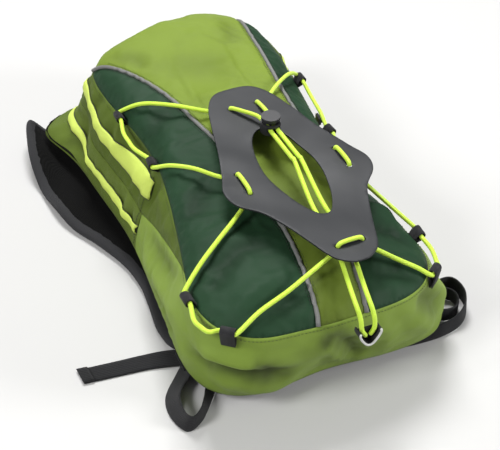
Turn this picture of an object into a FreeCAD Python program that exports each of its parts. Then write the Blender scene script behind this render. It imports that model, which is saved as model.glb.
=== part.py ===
"""Hydration pack lying on its back, in millimetres.

Frame: +Z is up and away from the wearer's back, +Y runs towards the grab handle, +X to the right when the
front is seen with the handle at the top. The origin is on the floor under the middle of the back panel.
"""

import math
import os

import FreeCAD
import Part
import Sketcher

Vector = FreeCAD.Vector

SIZES = {
    # the sewn body
    "front_bottom": -229, "front_top": 241, "back_bottom": -204, "back_top": 248,
    "back_height": 22, "back_slope": 0.04, "front_height": 108, "front_slope": 0.05, "front_roll": 0.05,
    "lean": 14, "wall_bulge": 5, "crown": 24, "crown_slope": 0.03,
    "cloth": 2, "board": 4, "divider_height": 66, "seam_y": 0, "wrap_rise": 0.29,
    "main_zip_height": 43, "front_zip_height": 84, "zip_width": 10, "piping_radius": 2,
    "pad_thickness": 6, "pad_width": 56, "pad_length": 230, "pad_gap": 36, "pad_y": 35, "pad_rounding": 2.5,
    "lumbar_width": 140, "lumbar_length": 50, "lumbar_y": -166,
    "spine_width": 26, "spine_length": 64, "spine_y": -18,
    "wedge_height": 40,
    # elastic cord, its loops, the plate and the cord lock
    "cord_radius": 2, "loop_bore": 3.3, "loop_radius": 4.5, "loop_width": 11, "loop_tab": 9,
    "plate_x": 12.7, "plate_height": 147, "plate_turn": 2.8, "plate_tilt": 2.6, "plate_thickness": 1.6,
    "plate_hole": 3,
    "lock_radius": 9.5, "lock_height": 10.4, "lock_x": 6, "lock_y": -26, "lock_bore": 7.3, "lock_floor": 1.2,
    "lock_slot_width": 12.4, "lock_slot_height": 4.6, "strand_height": 5.4, "strand_gap": 3.4,
    "plunger_radius": 7.2, "plunger_cap_radius": 8.8, "plunger_cap": 3, "plunger_travel": 3,
    # zip sliders and pulls
    "slider_length": 11, "slider_width": 8, "slider_thickness": 3, "bail_width": 3, "bail_height": 4,
    "pull_length": 30, "pull_width": 5, "pull_thickness": 1.6, "pull_pin": 0.9,
    # shoulder straps and webbing
    "strap_thickness": 10, "webbing_width": 20, "webbing_thickness": 1.5,
    "lock_bar": 4, "ladder_width": 27, "ladder_length": 24, "ladder_thickness": 4, "tail_length": 87,
    "tail_fold": 9,
    # sternum strap
    "sternum_y": 60, "sternum_width": 15, "buckle_length": 26, "buckle_width": 22, "buckle_thickness": 7,
    "prong_length": 15,
    # water
    "reservoir_width": 168, "reservoir_length": 330, "reservoir_thickness": 26, "reservoir_y": -20,
    "cap_radius": 32, "cap_thickness": 7, "neck_radius": 27, "hose_radius": 4.5, "hose_bore": 3,
    "valve_radius": 7, "valve_length": 34,
    # grab handle
    "handle_span": 70, "handle_width": 20, "handle_thickness": 4, "handle_drop": 26,
}

doc = FreeCAD.newDocument("hydration_pack")
sheet = doc.addObject("Spreadsheet::Sheet", "Sizes")
for row, (alias, number) in enumerate(SIZES.items(), start=1):
    sheet.set(f"A{row}", alias)
    sheet.set(f"B{row}", str(number))
    sheet.setAlias(f"B{row}", alias)
doc.recompute()

nodes = {}


def size(alias):
    """The number in the spreadsheet cell with this alias."""
    return float(sheet.get(alias))


def node(thing, name):
    """Names a finished sub-part and keeps it for export."""
    thing.Label = name
    nodes[name] = thing
    return thing


def feature(name, shape):
    """A sub-part whose shape is made directly, because its surfaces are sewn cloth, cord or hose."""
    made = doc.addObject("Part::Feature", name)
    made.Shape = shape
    return node(made, name)


def bind(thing, **expressions):
    """Binds an object's properties to spreadsheet cells; double underscores stand for dots."""
    for name, expression in expressions.items():
        thing.setExpression(name.replace("__", "."), expression)
    return thing


def primitive(kind, name, place=None, **expressions):
    """A Part primitive whose sizes are bound to the spreadsheet."""
    made = bind(doc.addObject(f"Part::{kind}", name), **expressions)
    if place is not None:
        made.Placement = place
    return made


def boolean(kind, name, base, tool):
    """A cut or a common of two objects."""
    made = doc.addObject(f"Part::{kind}", name)
    made.Base, made.Tool = base, tool
    return made


def fuse(name, *things):
    """One solid from several objects."""
    made = doc.addObject("Part::MultiFuse", name)
    made.Shapes = list(things)
    return made


def place(x=0.0, y=0.0, z=0.0, axis=(0, 0, 1), angle=0.0):
    """A placement at a point, turned by an angle in degrees."""
    return FreeCAD.Placement(Vector(x, y, z), FreeCAD.Rotation(Vector(*axis), angle))


# ---------------------------------------------------------------- heights and outlines of the sewn body


def lean(y):
    """How far the filled front has slumped sideways at this height up the pack."""
    return size("lean") * (y - size("front_bottom")) / (size("front_top") - size("front_bottom"))


def back_z(x, y):
    """Height of the back panel's outer face above the floor."""
    return size("back_height") + size("back_slope") * y


def front_z(x, y):
    """Height of the front seam above the floor."""
    return size("front_height") + size("front_slope") * y - size("front_roll") * (x - lean(y))


def both_sides(right, left):
    """A closed outline, counter-clockwise from the bottom middle, from its right and left half widths."""
    return right + [(-x, y) for x, y in reversed(left[1:-1])]


def mirrored(half):
    """A closed outline that is the same on both sides."""
    return both_sides(half, half)


FRONT_BOTTOM, FRONT_TOP = (0, size("front_bottom")), (0, size("front_top"))
FRONT_RIGHT = [
    FRONT_BOTTOM, (40, -226), (73, -217), (91, -202), (99, -182), (96, -138), (84, -62), (86, 20), (92, 100),
    (94, 165), (88, 204), (66, 232), (34, 245), FRONT_TOP,
]
FRONT_LEFT = [
    FRONT_BOTTOM, (40, -229), (78, -224), (100, -206), (110, -180), (107, -138), (94, -62), (88, 20),
    (101, 100), (108, 168), (98, 198), (64, 218), (32, 233), FRONT_TOP,
]
FRONT = both_sides(FRONT_RIGHT, FRONT_LEFT)
BACK_BOTTOM, BACK_TOP = (0, size("back_bottom")), (0, size("back_top"))
BACK_UPPER = [(112, 20), (123, 110), (138, 185), (148, 226), (128, 247), (66, 248), BACK_TOP]
BACK_RIGHT = [BACK_BOTTOM, (48, -207), (88, -206), (116, -197), (131, -174), (130, -128), (119, -62)]
BACK_LEFT = [BACK_BOTTOM, (50, -209), (83, -204), (104, -189), (114, -166), (115, -120), (113, -60)]
BACK = both_sides(BACK_RIGHT + BACK_UPPER, BACK_LEFT + BACK_UPPER)


def inset(points, amount):
    """Moves a closed outline inwards by an amount, or outwards if it is negative."""
    moved = []
    for i, (x, y) in enumerate(points):
        before, after = points[i - 1], points[(i + 1) % len(points)]
        along = Vector(after[0] - before[0], after[1] - before[1], 0).normalize()
        moved.append((x - along.y * amount, y + along.x * amount))
    return moved


def ring(points, height, leaning=True):
    """A closed spline through outline points, lifted to a height function."""
    lifted = []
    for x, y in points:
        shifted = x + (lean(y) if leaning else 0)
        lifted.append(Vector(shifted, y, height(shifted, y)))
    curve = Part.BSplineCurve()
    curve.interpolate(Points=lifted, PeriodicFlag=True)
    return Part.Wire([curve.toShape()])


def between(share):
    """The outline and height function at a share of the way from the back seam to the front seam."""
    bulge = size("wall_bulge") * 4 * share * (1 - share)
    outline = []
    for (bx, by), (fx, fy) in zip(BACK, FRONT):
        outline.append((bx + (fx + lean(fy) - bx) * share, by + (fy - by) * share))

    def height(x, y):
        return back_z(x, y) + (front_z(x, y) - back_z(x, y)) * share

    return inset(outline, -bulge), height


def wall_solid(amount, reach):
    """The body between back seam and front seam, inset by an amount and reaching past both seams."""
    rings = []
    for share in (0.0, 0.5, 1.0):
        outline, height = between(share)
        shift = reach * (2 * share - 1)
        rings.append(ring(inset(outline, amount), lambda x, y: height(x, y) + shift, leaning=False))
    return Part.makeLoft(rings, True, False)


def crown_height(x, y, share):
    """Height over the front seam of a ring of the crowned front."""
    return front_z(x, y) + share * (size("crown") + size("crown_slope") * y)


def dome_solid():
    """The crowned front above the front seam."""
    middle = (size("front_bottom") + size("front_top")) / 2
    rings = []
    for width, length, share in ((1, 1, 0), (0.9, 0.955, 0.45), (0.66, 0.86, 0.82), (0.3, 0.66, 1)):
        outline = [(x * width, middle + (y - middle) * length) for x, y in FRONT]
        rings.append(ring(outline, lambda x, y: crown_height(x, y, share)))
    return Part.makeLoft(rings, True, False)


def slab(low, high, slope):
    """Everything between two heights, both rising by a slope along Y."""
    reach = 900
    box = Part.makeBox(reach, reach, high - low, Vector(-reach / 2, -reach / 2, low))
    box.rotate(Vector(0, 0, low), Vector(1, 0, 0), math.degrees(math.atan(slope)))
    return box


def above_seam():
    """Everything above the upright side seams, towards the handle."""
    return Part.makeBox(600, 400, 400, Vector(-300, size("seam_y"), -100))


# ---------------------------------------------------------------- the sewn body

wall = wall_solid(0, 0).cut(wall_solid(size("cloth"), 1))
DEEP = 300
wrap_half_space = slab(size("divider_height") - DEEP, size("divider_height"), -size("wrap_rise"))
wrap = wall.common(wrap_half_space).cut(above_seam())
feature("bottom_wrap", wrap)

gusset = wall.cut(wrap)
front_zip_band = slab(size("front_zip_height"), size("front_zip_height") + size("zip_width"), 0.02)
main_zip_band = slab(size("main_zip_height"), size("main_zip_height") + size("zip_width"), 0.02)
divider_space = slab(size("divider_height"), size("divider_height") + DEEP, size("back_slope"))
front_part = gusset.common(divider_space)
main_part = gusset.cut(divider_space)
front_zip = front_part.common(front_zip_band).common(above_seam())
main_zip = main_part.common(main_zip_band).common(above_seam())
feature("front_zip_tape", front_zip)
feature("main_zip_tape", main_zip)
feature("front_gusset", front_part.cut(front_zip))
feature("main_gusset", main_part.cut(main_zip))

dome = dome_solid()
dome_under = dome.copy()
dome_under.translate(Vector(0, 0, -size("cloth")))
front_skin = dome.cut(dome_under)

PIPING = {
    -1: [
        (25, -246), (18, -191), (15, -140), (21, -75), (31, -3), (40, 30), (49, 65), (63, 101), (84, 140),
        (100, 168), (116, 196),
    ],
    1: [
        (20, -246), (24, -200), (32, -160), (47, -115), (57, -65), (61, 0), (62, 66), (65, 120), (67, 180),
        (72, 240),
    ],
}


def piping_curve(side):
    """The piped seam in plan, on one side (-1 left, 1 right), as a spline through few points."""
    curve = Part.BSplineCurve()
    curve.interpolate(Points=[Vector(side * x + lean(y), y, 0) for x, y in PIPING[side]])
    return curve


def side_prism(side):
    """The plan area outside a piped seam, as a tall prism."""
    curve = piping_curve(side)
    start, end = curve.StartPoint, curve.EndPoint
    far = side * 400
    corners = [end, Vector(far, end.y, 0), Vector(far, start.y, 0), start]
    wire = Part.Wire([curve.toShape(), Part.makePolygon(corners)])
    return Part.Face(wire).extrude(Vector(0, 0, DEEP))


left_area, right_area = side_prism(-1), side_prism(1)
feature("left_panel", front_skin.common(left_area))
feature("right_panel", front_skin.common(right_area))
feature("centre_panel", front_skin.cut(left_area).cut(right_area))


def skin_height(x, y):
    """Height of the crowned front's outer face at a place in plan, or of the seam beyond its edge."""
    needle = Part.makeLine(Vector(x, y, 0), Vector(x, y, DEEP)).common(dome)
    return max((v.Z for v in needle.Vertexes), default=front_z(x, y))


def above_skin(x, y, clearance):
    """The point at a clearance from the crowned front, measured square to its face."""
    step = 1.0
    slope_x = (skin_height(x + step, y) - skin_height(x - step, y)) / (2 * step)
    slope_y = (skin_height(x, y + step) - skin_height(x, y - step)) / (2 * step)
    normal = Vector(-slope_x, -slope_y, 1).normalize()
    return Vector(x, y, skin_height(x, y)) + normal * clearance


def swept(points, radius, bore=0.0):
    """A round cord or hose through the given points, solid or bored."""
    curve = Part.BSplineCurve()
    curve.interpolate(Points=points)
    path = Part.Wire([curve.toShape()])
    start, tangent = curve.value(curve.FirstParameter), curve.tangent(curve.FirstParameter)[0]

    def pipe(r):
        rim = Part.Wire([Part.makeCircle(r, start, tangent)])
        return path.makePipeShell([rim], True, True)

    return pipe(radius).cut(pipe(bore)) if bore else pipe(radius)


def piping(side):
    """The round piping laid along a piped seam, just clear of the cloth."""
    curve = piping_curve(side)
    first, last = curve.FirstParameter, curve.LastParameter
    steps, margin = 11, 0.1
    points = []
    for i in range(steps + 1):
        share = margin + (1 - 2 * margin) * i / steps
        p = curve.value(first + (last - first) * share)
        points.append(above_skin(p.x, p.y, size("piping_radius") + 0.7))
    return swept(points, size("piping_radius"))


feature("piping", Part.makeCompound([piping(-1), piping(1)]))

inside = wall_solid(size("cloth") + 0.5, 2)
board = slab(size("back_height"), size("back_height") + size("board"), size("back_slope"))
feature("back_panel", inside.common(board))
divider = slab(size("divider_height"), size("divider_height") + 1, size("back_slope"))
feature("divider_panel", inside.common(divider))


def rounded(name, base):
    """All edges of a pad rounded over."""
    doc.recompute()
    made = doc.addObject("Part::Fillet", name)
    made.Base = base
    made.Edges = [(i + 1, size("pad_rounding"), size("pad_rounding")) for i in range(len(base.Shape.Edges))]
    return made


def rib(name, side):
    """One of the two long foam ribs beside the spine, on the back panel's outer face."""
    block = primitive(
        "Box", name, Length="Sizes.pad_width", Width="Sizes.pad_length", Height="Sizes.pad_thickness",
    )
    tilt = math.degrees(math.atan(size("back_slope")))
    x, y = side * (size("pad_gap") + size("pad_width")) / 2, size("pad_y")
    spot = place(x, y, back_z(x, y) - size("pad_thickness") - 0.2, (1, 0, 0), tilt)
    block.Placement = spot.multiply(place(-size("pad_width") / 2, -size("pad_length") / 2))
    return rounded(name + "_rounded", block)


def wedge_pad(name, width, length, y):
    """A thicker pad, flat underneath on the floor and sloping with the panel on top."""
    block = primitive(
        "Box", name, Length=f"Sizes.{width}", Width=f"Sizes.{length}", Height="Sizes.wedge_height",
    )
    block.Placement = place(-size(width) / 2, y - size(length) / 2, 0)
    above = doc.addObject("Part::Feature", name + "_panel_space")
    above.Shape = slab(size("back_height") - 0.2, DEEP, size("back_slope"))
    return rounded(name + "_rounded", boolean("Cut", name + "_wedge", block, above))


pads = doc.addObject("Part::Compound", "pads")
pads.Links = [
    rib("left_rib", -1), rib("right_rib", 1),
    wedge_pad("spine_pad", "spine_width", "spine_length", size("spine_y")),
    wedge_pad("lumbar_pad", "lumbar_width", "lumbar_length", size("lumbar_y")),
]
node(pads, "back_pads")

# ---------------------------------------------------------------- plate, cord and cord lock

PLATE_HALF = [
    (0, 50), (20, 46), (33, 28), (42, -2), (50, -32), (62, -70), (70, -92), (66, -112), (50, -130),
    (38, -156), (29, -178), (20, -200), (8, -210), (0, -211),
]


def spline_sketch(body, points, name):
    """A sketch on the body's XY plane holding one closed spline through the given points."""
    sketch = body.newObject("Sketcher::SketchObject", name)
    plane = next(f for f in body.Origin.OriginFeatures if f.Role == "XY_Plane")
    sketch.AttachmentSupport, sketch.MapMode = [(plane, "")], "FlatFace"
    curve = Part.BSplineCurve()
    curve.interpolate(Points=[Vector(x, y, 0) for x, y in points], PeriodicFlag=True)
    sketch.addGeometry(curve, False)
    return sketch


def circles_sketch(body, centres, alias, name):
    """A sketch of equal circles whose radius is bound to a cell."""
    sketch = body.newObject("Sketcher::SketchObject", name)
    plane = next(f for f in body.Origin.OriginFeatures if f.Role == "XY_Plane")
    sketch.AttachmentSupport, sketch.MapMode = [(plane, "")], "FlatFace"
    for i, (x, y) in enumerate(centres):
        sketch.addGeometry(Part.Circle(Vector(x, y, 0), Vector(0, 0, 1), size(alias)), False)
        index = sketch.addConstraint(Sketcher.Constraint("Radius", i, size(alias)))
        sketch.setExpression(f"Constraints[{index}]", f"Sizes.{alias}")
    return sketch


def padded(name, sketch_maker, thickness):
    """A PartDesign body with one pad from a sketch."""
    body = doc.addObject("PartDesign::Body", name)
    sketch = sketch_maker(body)
    pad = body.newObject("PartDesign::Pad", name + "_pad")
    pad.Profile = sketch
    pad.setExpression("Length", thickness)
    sketch.Visibility = False
    doc.recompute()
    return body


def pocketed(body, sketch, name):
    """A pocket through the whole body."""
    before = len(body.Shape.Faces)
    pocket = body.newObject("PartDesign::Pocket", name)
    pocket.Profile, pocket.Type, pocket.Reversed = sketch, 1, True
    doc.recompute()
    if len(body.Shape.Faces) <= before:
        raise RuntimeError(f"{name} cut nothing")
    return body


HOLE_TOP, HOLE_UPPER, HOLE_LOWER, HOLE_BOTTOM = (13.5, 19), (48.5, -73), (48.5, -100), (11.5, -189)
outline = mirrored(PLATE_HALF)
plate = padded("plate", lambda b: spline_sketch(b, outline, "plate_outline"), "Sizes.plate_thickness")
holes = [(side * x, y) for x, y in (HOLE_TOP, HOLE_UPPER, HOLE_LOWER, HOLE_BOTTOM) for side in (-1, 1)]
pocketed(plate, circles_sketch(plate, holes, "plate_hole", "lace_holes"), "lace_pocket")
EYE_HALF = [(0, -19), (14, -30), (23, -60), (25, -90), (18, -122), (8, -143), (0, -148)]
pocketed(plate, spline_sketch(plate, mirrored(EYE_HALF), "eye_outline"), "eye_pocket")
plate_frame = place(size("plate_x"), 0, size("plate_height"), (0, 0, 1), size("plate_turn"))
plate_frame = plate_frame.multiply(place(axis=(1, 0, 0), angle=size("plate_tilt")))
plate.Placement = plate_frame
node(plate, "cord_plate")


def on_plate(x, y, z):
    """A place in the plate's own frame, whose origin is on its underside."""
    return plate_frame.multVec(Vector(x, y, z))


def front_edge(y, side):
    """Half the width of the front seam's outline at a height up the pack, on one of its straight sides."""
    curve = Part.BSplineCurve()
    curve.interpolate(Points=[Vector(x, v, 0) for x, v in FRONT], PeriodicFlag=True)
    cut = Part.makeLine(Vector(0, y, 0), Vector(side * 300, y, 0))
    near, _ = cut.distToShape(curve.toShape())[1][0]
    return abs(near.x)


# where each loop sits: height up the pack on the left and on the right, and its turn in degrees
LOOPS = {"upper": (85, 98, 0), "middle": (5.5, 5, 4), "lower": (-172, -158, -4), "corner": (-216, -205, -52)}
CORNER_X = 96


def loop_place(name, side):
    """Where a webbing loop's bore is centred, beside the front seam."""
    y = LOOPS[name][0 if side < 0 else 1]
    edge = CORNER_X if name == "corner" else front_edge(y, side) + size("loop_radius")
    x = side * edge + lean(y)
    return Vector(x, y, front_z(x, y) + 5)


def loop_solid(name, side):
    """A short webbing tunnel that the cord runs through, with the tab that joins it to the seam."""
    turn = LOOPS[name][2]
    centre = loop_place(name, side)
    length = size("loop_width")
    tube = Part.makeCylinder(size("loop_radius"), length, Vector(0, -length / 2, 0), Vector(0, 1, 0))
    reach = size("loop_tab")
    tab = Part.makeBox(reach, length, 1.6, Vector(-reach - 1, -length / 2, -size("loop_radius")))
    bore = Part.makeCylinder(size("loop_bore"), length + 2, Vector(0, -length / 2 - 1, 0), Vector(0, 1, 0))
    made = tube.fuse(tab).cut(bore)
    if side < 0:
        made = made.mirror(Vector(0, 0, 0), Vector(1, 0, 0))
    made.rotate(Vector(0, 0, 0), Vector(0, 0, 1), side * turn)
    made.translate(centre)
    for cloth_body in keep_clear:
        made = made.cut(cloth_body)
    return made


SIDES = (-1, 1)
keep_clear = [wall_solid(-0.4, 1), dome.translated(Vector(0, 0, 0.8)), dome]
feature("cord_loops", Part.makeCompound([loop_solid(n, s) for n in LOOPS for s in SIDES]))


def through_loop(name, side, direction):
    """Three points that carry the cord straight through a loop, going down the pack (-1) or up it (1)."""
    turn = LOOPS[name][2]
    angle = math.radians(side * turn)
    along = Vector(-math.sin(angle), math.cos(angle), 0) * direction
    centre = loop_place(name, side)
    return [centre - along * 8, centre, centre + along * 8]


def leg(start, end):
    """Points between two ends of a free run of cord, lifted clear of the crowned front."""
    points = []
    for share in (0.22, 0.5, 0.78):
        p = start + (end - start) * share
        points.append(Vector(p.x, p.y, max(p.z, skin_height(p.x, p.y) + size("cord_radius") + 5.4)))
    return points


def lacing(side, upper):
    """One run of cord from under a plate hole, through two side loops and back under a plate hole."""
    first, second = ("upper", "middle") if upper else ("lower", "corner")
    start, end = (HOLE_TOP, HOLE_UPPER) if upper else (HOLE_LOWER, HOLE_BOTTOM)
    below = -size("cord_radius") - 1
    a, b = on_plate(side * start[0], start[1], below), on_plate(side * end[0], end[1], below)
    into, out = through_loop(first, side, -1), through_loop(second, side, -1)
    return swept([a] + leg(a, into[0]) + into + out + leg(out[-1], b) + [b], size("cord_radius"))


feature("cord_lacing", Part.makeCompound([lacing(s, u) for s in SIDES for u in (True, False)]))

LOOP_X, LOOP_Y, LOOP_Z = 12, -243, 94
TOP = size("plate_thickness") + size("cord_radius") + 0.4
lock_base = size("plate_thickness") + 0.2
strand_z = lock_base + size("strand_height")


def stitch(first, second):
    """A short run of cord lying over the plate between two places on it."""
    a, b = on_plate(*first, TOP), on_plate(*second, TOP)
    return swept([a, (a + b) / 2 + Vector(0, 0, 1.0), b], size("cord_radius"))


stitches = [stitch((s * HOLE_UPPER[0], HOLE_UPPER[1]), (s * HOLE_LOWER[0], HOLE_LOWER[1])) for s in SIDES]
stitches.append(stitch((-HOLE_BOTTOM[0], HOLE_BOTTOM[1]), HOLE_BOTTOM))
feature("cord_stitches", Part.makeCompound(stitches))


def strand(side):
    """A cord from a top hole of the plate, through the lock and the eye, and on to the bottom loop."""
    x, y = size("lock_x") + side * size("strand_gap"), size("lock_y")
    start = (side * HOLE_TOP[0], HOLE_TOP[1], TOP)
    through_lock = [(x + side * 3, y + 21, strand_z)]
    through_lock += [(x, y + along, strand_z) for along in (12, 0, -48)]
    through_eye = [(side * 5, -135, -4), (side * 6, -172, -9)]
    over = [start] + through_lock + through_eye
    under = [
        Vector(LOOP_X + side * 6, -232, LOOP_Z + 24),
        Vector(LOOP_X + side * 4, LOOP_Y - 5, LOOP_Z + 13),
    ]
    return swept([on_plate(*p) for p in over] + under, size("cord_radius"))


feature("cord_strands", Part.makeCompound([strand(s) for s in SIDES]))

LOOP_SPAN, LOOP_DEPTH, LIGHT_WIDTH = 19, 15, 10


def light_loop():
    """The folded triangle of webbing on the bottom, holding the cord and a clip-on light."""
    corners = [Vector(-LOOP_SPAN / 2, 0, 0), Vector(LOOP_SPAN / 2, 0, 0), Vector(0, 0, -LOOP_DEPTH)]
    outer = Part.makePolygon(corners + corners[:1])
    solid = Part.Face(outer).extrude(Vector(0, -LIGHT_WIDTH, 0))
    inner = solid.copy()
    inner.scale(0.68, Vector(0, -LIGHT_WIDTH / 2, -LOOP_DEPTH * 0.36))
    inner = inner.fuse(inner.translated(Vector(0, -6, 0))).fuse(inner.translated(Vector(0, 6, 0)))
    made = solid.cut(inner)
    made.translate(Vector(LOOP_X, LOOP_Y, LOOP_Z + 6))
    return made


feature("light_loop", light_loop())


def box(name, x, y, z, spot):
    """A box centred on a place in X and Y and standing on it in Z; its sides are sheet expressions."""
    made = primitive("Box", name, Length=x, Width=y, Height=z)
    doc.recompute()
    half = place(-made.Length.Value / 2, -made.Width.Value / 2, 0)
    made.Placement = spot.multiply(half)
    return made


def at_lock(z):
    """A place on the cord lock's upright axis, above its base."""
    return plate_frame.multiply(place(size("lock_x"), size("lock_y"), lock_base + z))


tall = "Sizes.lock_height"
shell = primitive("Cylinder", "lock_shell", at_lock(0), Radius="Sizes.lock_radius", Height=tall)
bore = primitive("Cylinder", "lock_well", at_lock(size("lock_floor")), Radius="Sizes.lock_bore", Height=tall)
mouth = box("lock_mouth", "Sizes.lock_slot_width", "Sizes.lock_radius * 3", "Sizes.lock_slot_height",
            at_lock(size("strand_height") - size("lock_slot_height") / 2))
node(boolean("Cut", "lock_barrel", boolean("Cut", "lock_cup", shell, bore), mouth), "cord_lock_body")

cap_rest = size("lock_height") + size("plunger_travel") + 0.2
stem_rest = size("strand_height") - 1
stem = primitive("Cylinder", "plunger_stem", at_lock(stem_rest), Radius="Sizes.plunger_radius",
                 Height="Sizes.lock_height + Sizes.plunger_travel + 0.4 - Sizes.strand_height + 1")
cap = primitive(
    "Cylinder", "plunger_cap", at_lock(cap_rest),
    Radius="Sizes.plunger_cap_radius", Height="Sizes.plunger_cap",
)
fork = box("plunger_fork", "Sizes.lock_slot_width", "Sizes.lock_radius * 3", "Sizes.plunger_travel + 4.4",
           at_lock(stem_rest - 0.4))
node(boolean("Cut", "plunger", fuse("plunger_blank", stem, cap), fork), "cord_lock_button")

# ---------------------------------------------------------------- zip sliders and pulls on the right side


def wall_x(y, z):
    """Where the sewn wall's right outer face is at a height up the pack and above the floor."""
    needle = Part.makeLine(Vector(0, y, z), Vector(300, y, z)).common(wall)
    return max(v.X for v in needle.Vertexes)


SLIDER_Y = {"main": 40, "front": 52}
SLIDER_TRAVEL = {"main": 50, "front": 50}


def zip_frame(which):
    """The place of a slider on the zip's middle line: X out of the wall, Y along the zip."""
    y, travel = SLIDER_Y[which], SLIDER_TRAVEL[which]
    z = size(f"{which}_zip_height") + size("zip_width") / 2 + 0.02 * y
    low, high = wall_x(y, z), wall_x(y + travel, z + 0.02 * travel)
    turn = math.degrees(math.atan2(-(high - low), travel))
    middle = wall_x(y + travel / 2, z + 0.01 * travel) - (low + high) / 2
    return place(low + max(middle, 0) + 2.3, y, z, (0, 0, 1), turn)


def slider(which):
    """The slider: a body along the tape with two lugs and the pin that carries the pull."""
    spot = zip_frame(which)
    long_half, wide = size("slider_length") / 2, size("slider_width")
    body = primitive(
        "Box", which + "_slider_body", Length="Sizes.slider_thickness", Width="Sizes.slider_length",
        Height="Sizes.slider_width",
    )
    body.Placement = spot.multiply(place(0, -long_half, -wide / 2))
    lugs = []
    for name, z in (("low", -wide / 2), ("high", wide / 2 - 1)):
        lug = primitive(
            "Box", f"{which}_{name}_lug", Length="Sizes.bail_height", Width="Sizes.bail_width", Height="1 mm",
        )
        lug.Placement = spot.multiply(place(size("slider_thickness") - 0.1, -size("bail_width") / 2, z))
        lugs.append(lug)
    pin = primitive("Cylinder", which + "_pin", Radius="Sizes.pull_pin", Height="Sizes.slider_width")
    pin.Placement = spot.multiply(place(size("slider_thickness") + size("bail_height") - 1.6, 0, -wide / 2))
    return node(fuse(which + "_slider", body, pin, *lugs), which + "_zip_slider")


def pull(which):
    """The flat pull tab, bored for the slider's pin and hanging down the pack."""
    spot = zip_frame(which)
    hinge = spot.multiply(place(size("slider_thickness") + size("bail_height") - 1.6, 0, 0))
    half_wide = size("pull_width") / 2
    tab = primitive(
        "Box", which + "_tab",
        Length="Sizes.pull_thickness", Width="Sizes.pull_length", Height="Sizes.pull_width",
    )
    tab.Placement = hinge.multiply(place(0.6 - size("pull_thickness") / 2, -size("pull_length"), -half_wide))
    eye = primitive("Cylinder", which + "_eye", Radius="Sizes.pull_pin + 0.8", Height="Sizes.pull_width")
    eye.Placement = hinge.multiply(place(0, 0, -half_wide))
    hole = primitive(
        "Cylinder", which + "_bore", Radius="Sizes.pull_pin + 0.06", Height="Sizes.pull_width + 2",
    )
    hole.Placement = hinge.multiply(place(0, 0, -half_wide - 1))
    blank = fuse(which + "_pull_blank", tab, eye)
    return node(boolean("Cut", which + "_pull", blank, hole), which + "_zip_pull")


for zip_name in ("main", "front"):
    slider(zip_name)
    pull(zip_name)

# ---------------------------------------------------------------- shoulder straps, webbing and buckles

LEFT_OUTER = [
    (-124, 246), (-157, 258), (-170, 216), (-173, 166), (-162, 92), (-140, 44), (-124, 4), (-118, -32),
    (-119, -64), (-121, -98), (-113, -124),
]
LEFT_INNER = [(-90, -126), (-70, -89), (-66, -37), (-71, 21), (-84, 104), (-98, 176), (-102, 222)]
RIGHT_OUTER = [
    (102, 240), (135, 244), (146, 206), (147, 168), (141, 104), (135, 21), (130, -37), (126, -89),
    (117, -124),
]
RIGHT_INNER = [(90, -126), (68, -89), (63, -37), (66, 21), (72, 104), (80, 176), (84, 218)]


def flat_pad(outline, low, thickness):
    """A soft flat pad with a splined outline, standing on a height."""
    curve = Part.BSplineCurve()
    curve.interpolate(Points=[Vector(x, y, low) for x, y in outline], PeriodicFlag=True)
    return Part.Face(Part.Wire([curve.toShape()])).extrude(Vector(0, 0, thickness))


feature("shoulder_strap_left", flat_pad(LEFT_OUTER + LEFT_INNER, 0, size("strap_thickness")))
feature("shoulder_strap_right", flat_pad(RIGHT_OUTER + RIGHT_INNER, 0, size("strap_thickness")))


def ribbon(path, thickness, width, low):
    """Webbing standing on its edge along a plan path."""
    curve = Part.BSplineCurve()
    curve.interpolate(Points=[Vector(x, y, low) for x, y in path])
    sides = []
    for offset in (-thickness / 2, thickness / 2):
        points = []
        for i in range(25):
            u = curve.FirstParameter + (curve.LastParameter - curve.FirstParameter) * i / 24
            along = curve.tangent(u)[0]
            points.append(curve.value(u) + Vector(-along.y, along.x, 0) * offset)
        edge = Part.BSplineCurve()
        edge.interpolate(Points=points)
        sides.append(edge)
    first, second = sides
    edges = [first.toShape(), second.toShape()]
    edges.append(Part.makeLine(first.StartPoint, second.StartPoint))
    edges.append(Part.makeLine(first.EndPoint, second.EndPoint))
    wire = Part.Wire(Part.__sortEdges__(edges))
    return Part.Face(wire).extrude(Vector(0, 0, width))


LEFT_RETURN = [
    (-119, -158), (-131, -164), (-141, -181), (-141, -200), (-132, -214), (-120, -214), (-110, -206),
    (-104, -197),
]
RIGHT_RETURN = [(141, -158), (157, -159), (168, -171), (164, -192), (147, -207), (132, -207), (124, -203)]
RIGHT_SPARE = [(139, -162), (150, -164), (157, -175), (151, -188), (142, -191), (135, -187)]
wide, thin = size("webbing_width"), size("webbing_thickness")
feature("adjuster_webbing_left", ribbon(LEFT_RETURN, thin, wide, 0.5))
right_ribbons = [ribbon(path, thin, wide, 0.5) for path in (RIGHT_RETURN, RIGHT_SPARE)]
feature("adjuster_webbing_right", Part.makeCompound(right_ribbons))


def tail():
    """The loose end of the left adjuster, lying flat with its end folded over and sewn."""
    length, fold = size("tail_length"), size("tail_fold")
    strip = Part.makeBox(length, wide, thin, Vector(-length, -wide / 2, 0))
    folded = Part.makeBox(fold, wide, 2 * thin, Vector(-length, -wide / 2, thin))
    made = strip.fuse(folded).removeSplitter()
    made.rotate(Vector(0, 0, 0), Vector(0, 0, 1), -5)
    made.translate(Vector(-117, -135.5, 0))
    return made


feature("webbing_tail_left", tail())


LADDER_X = {-1: -101, 1: 121}


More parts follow.
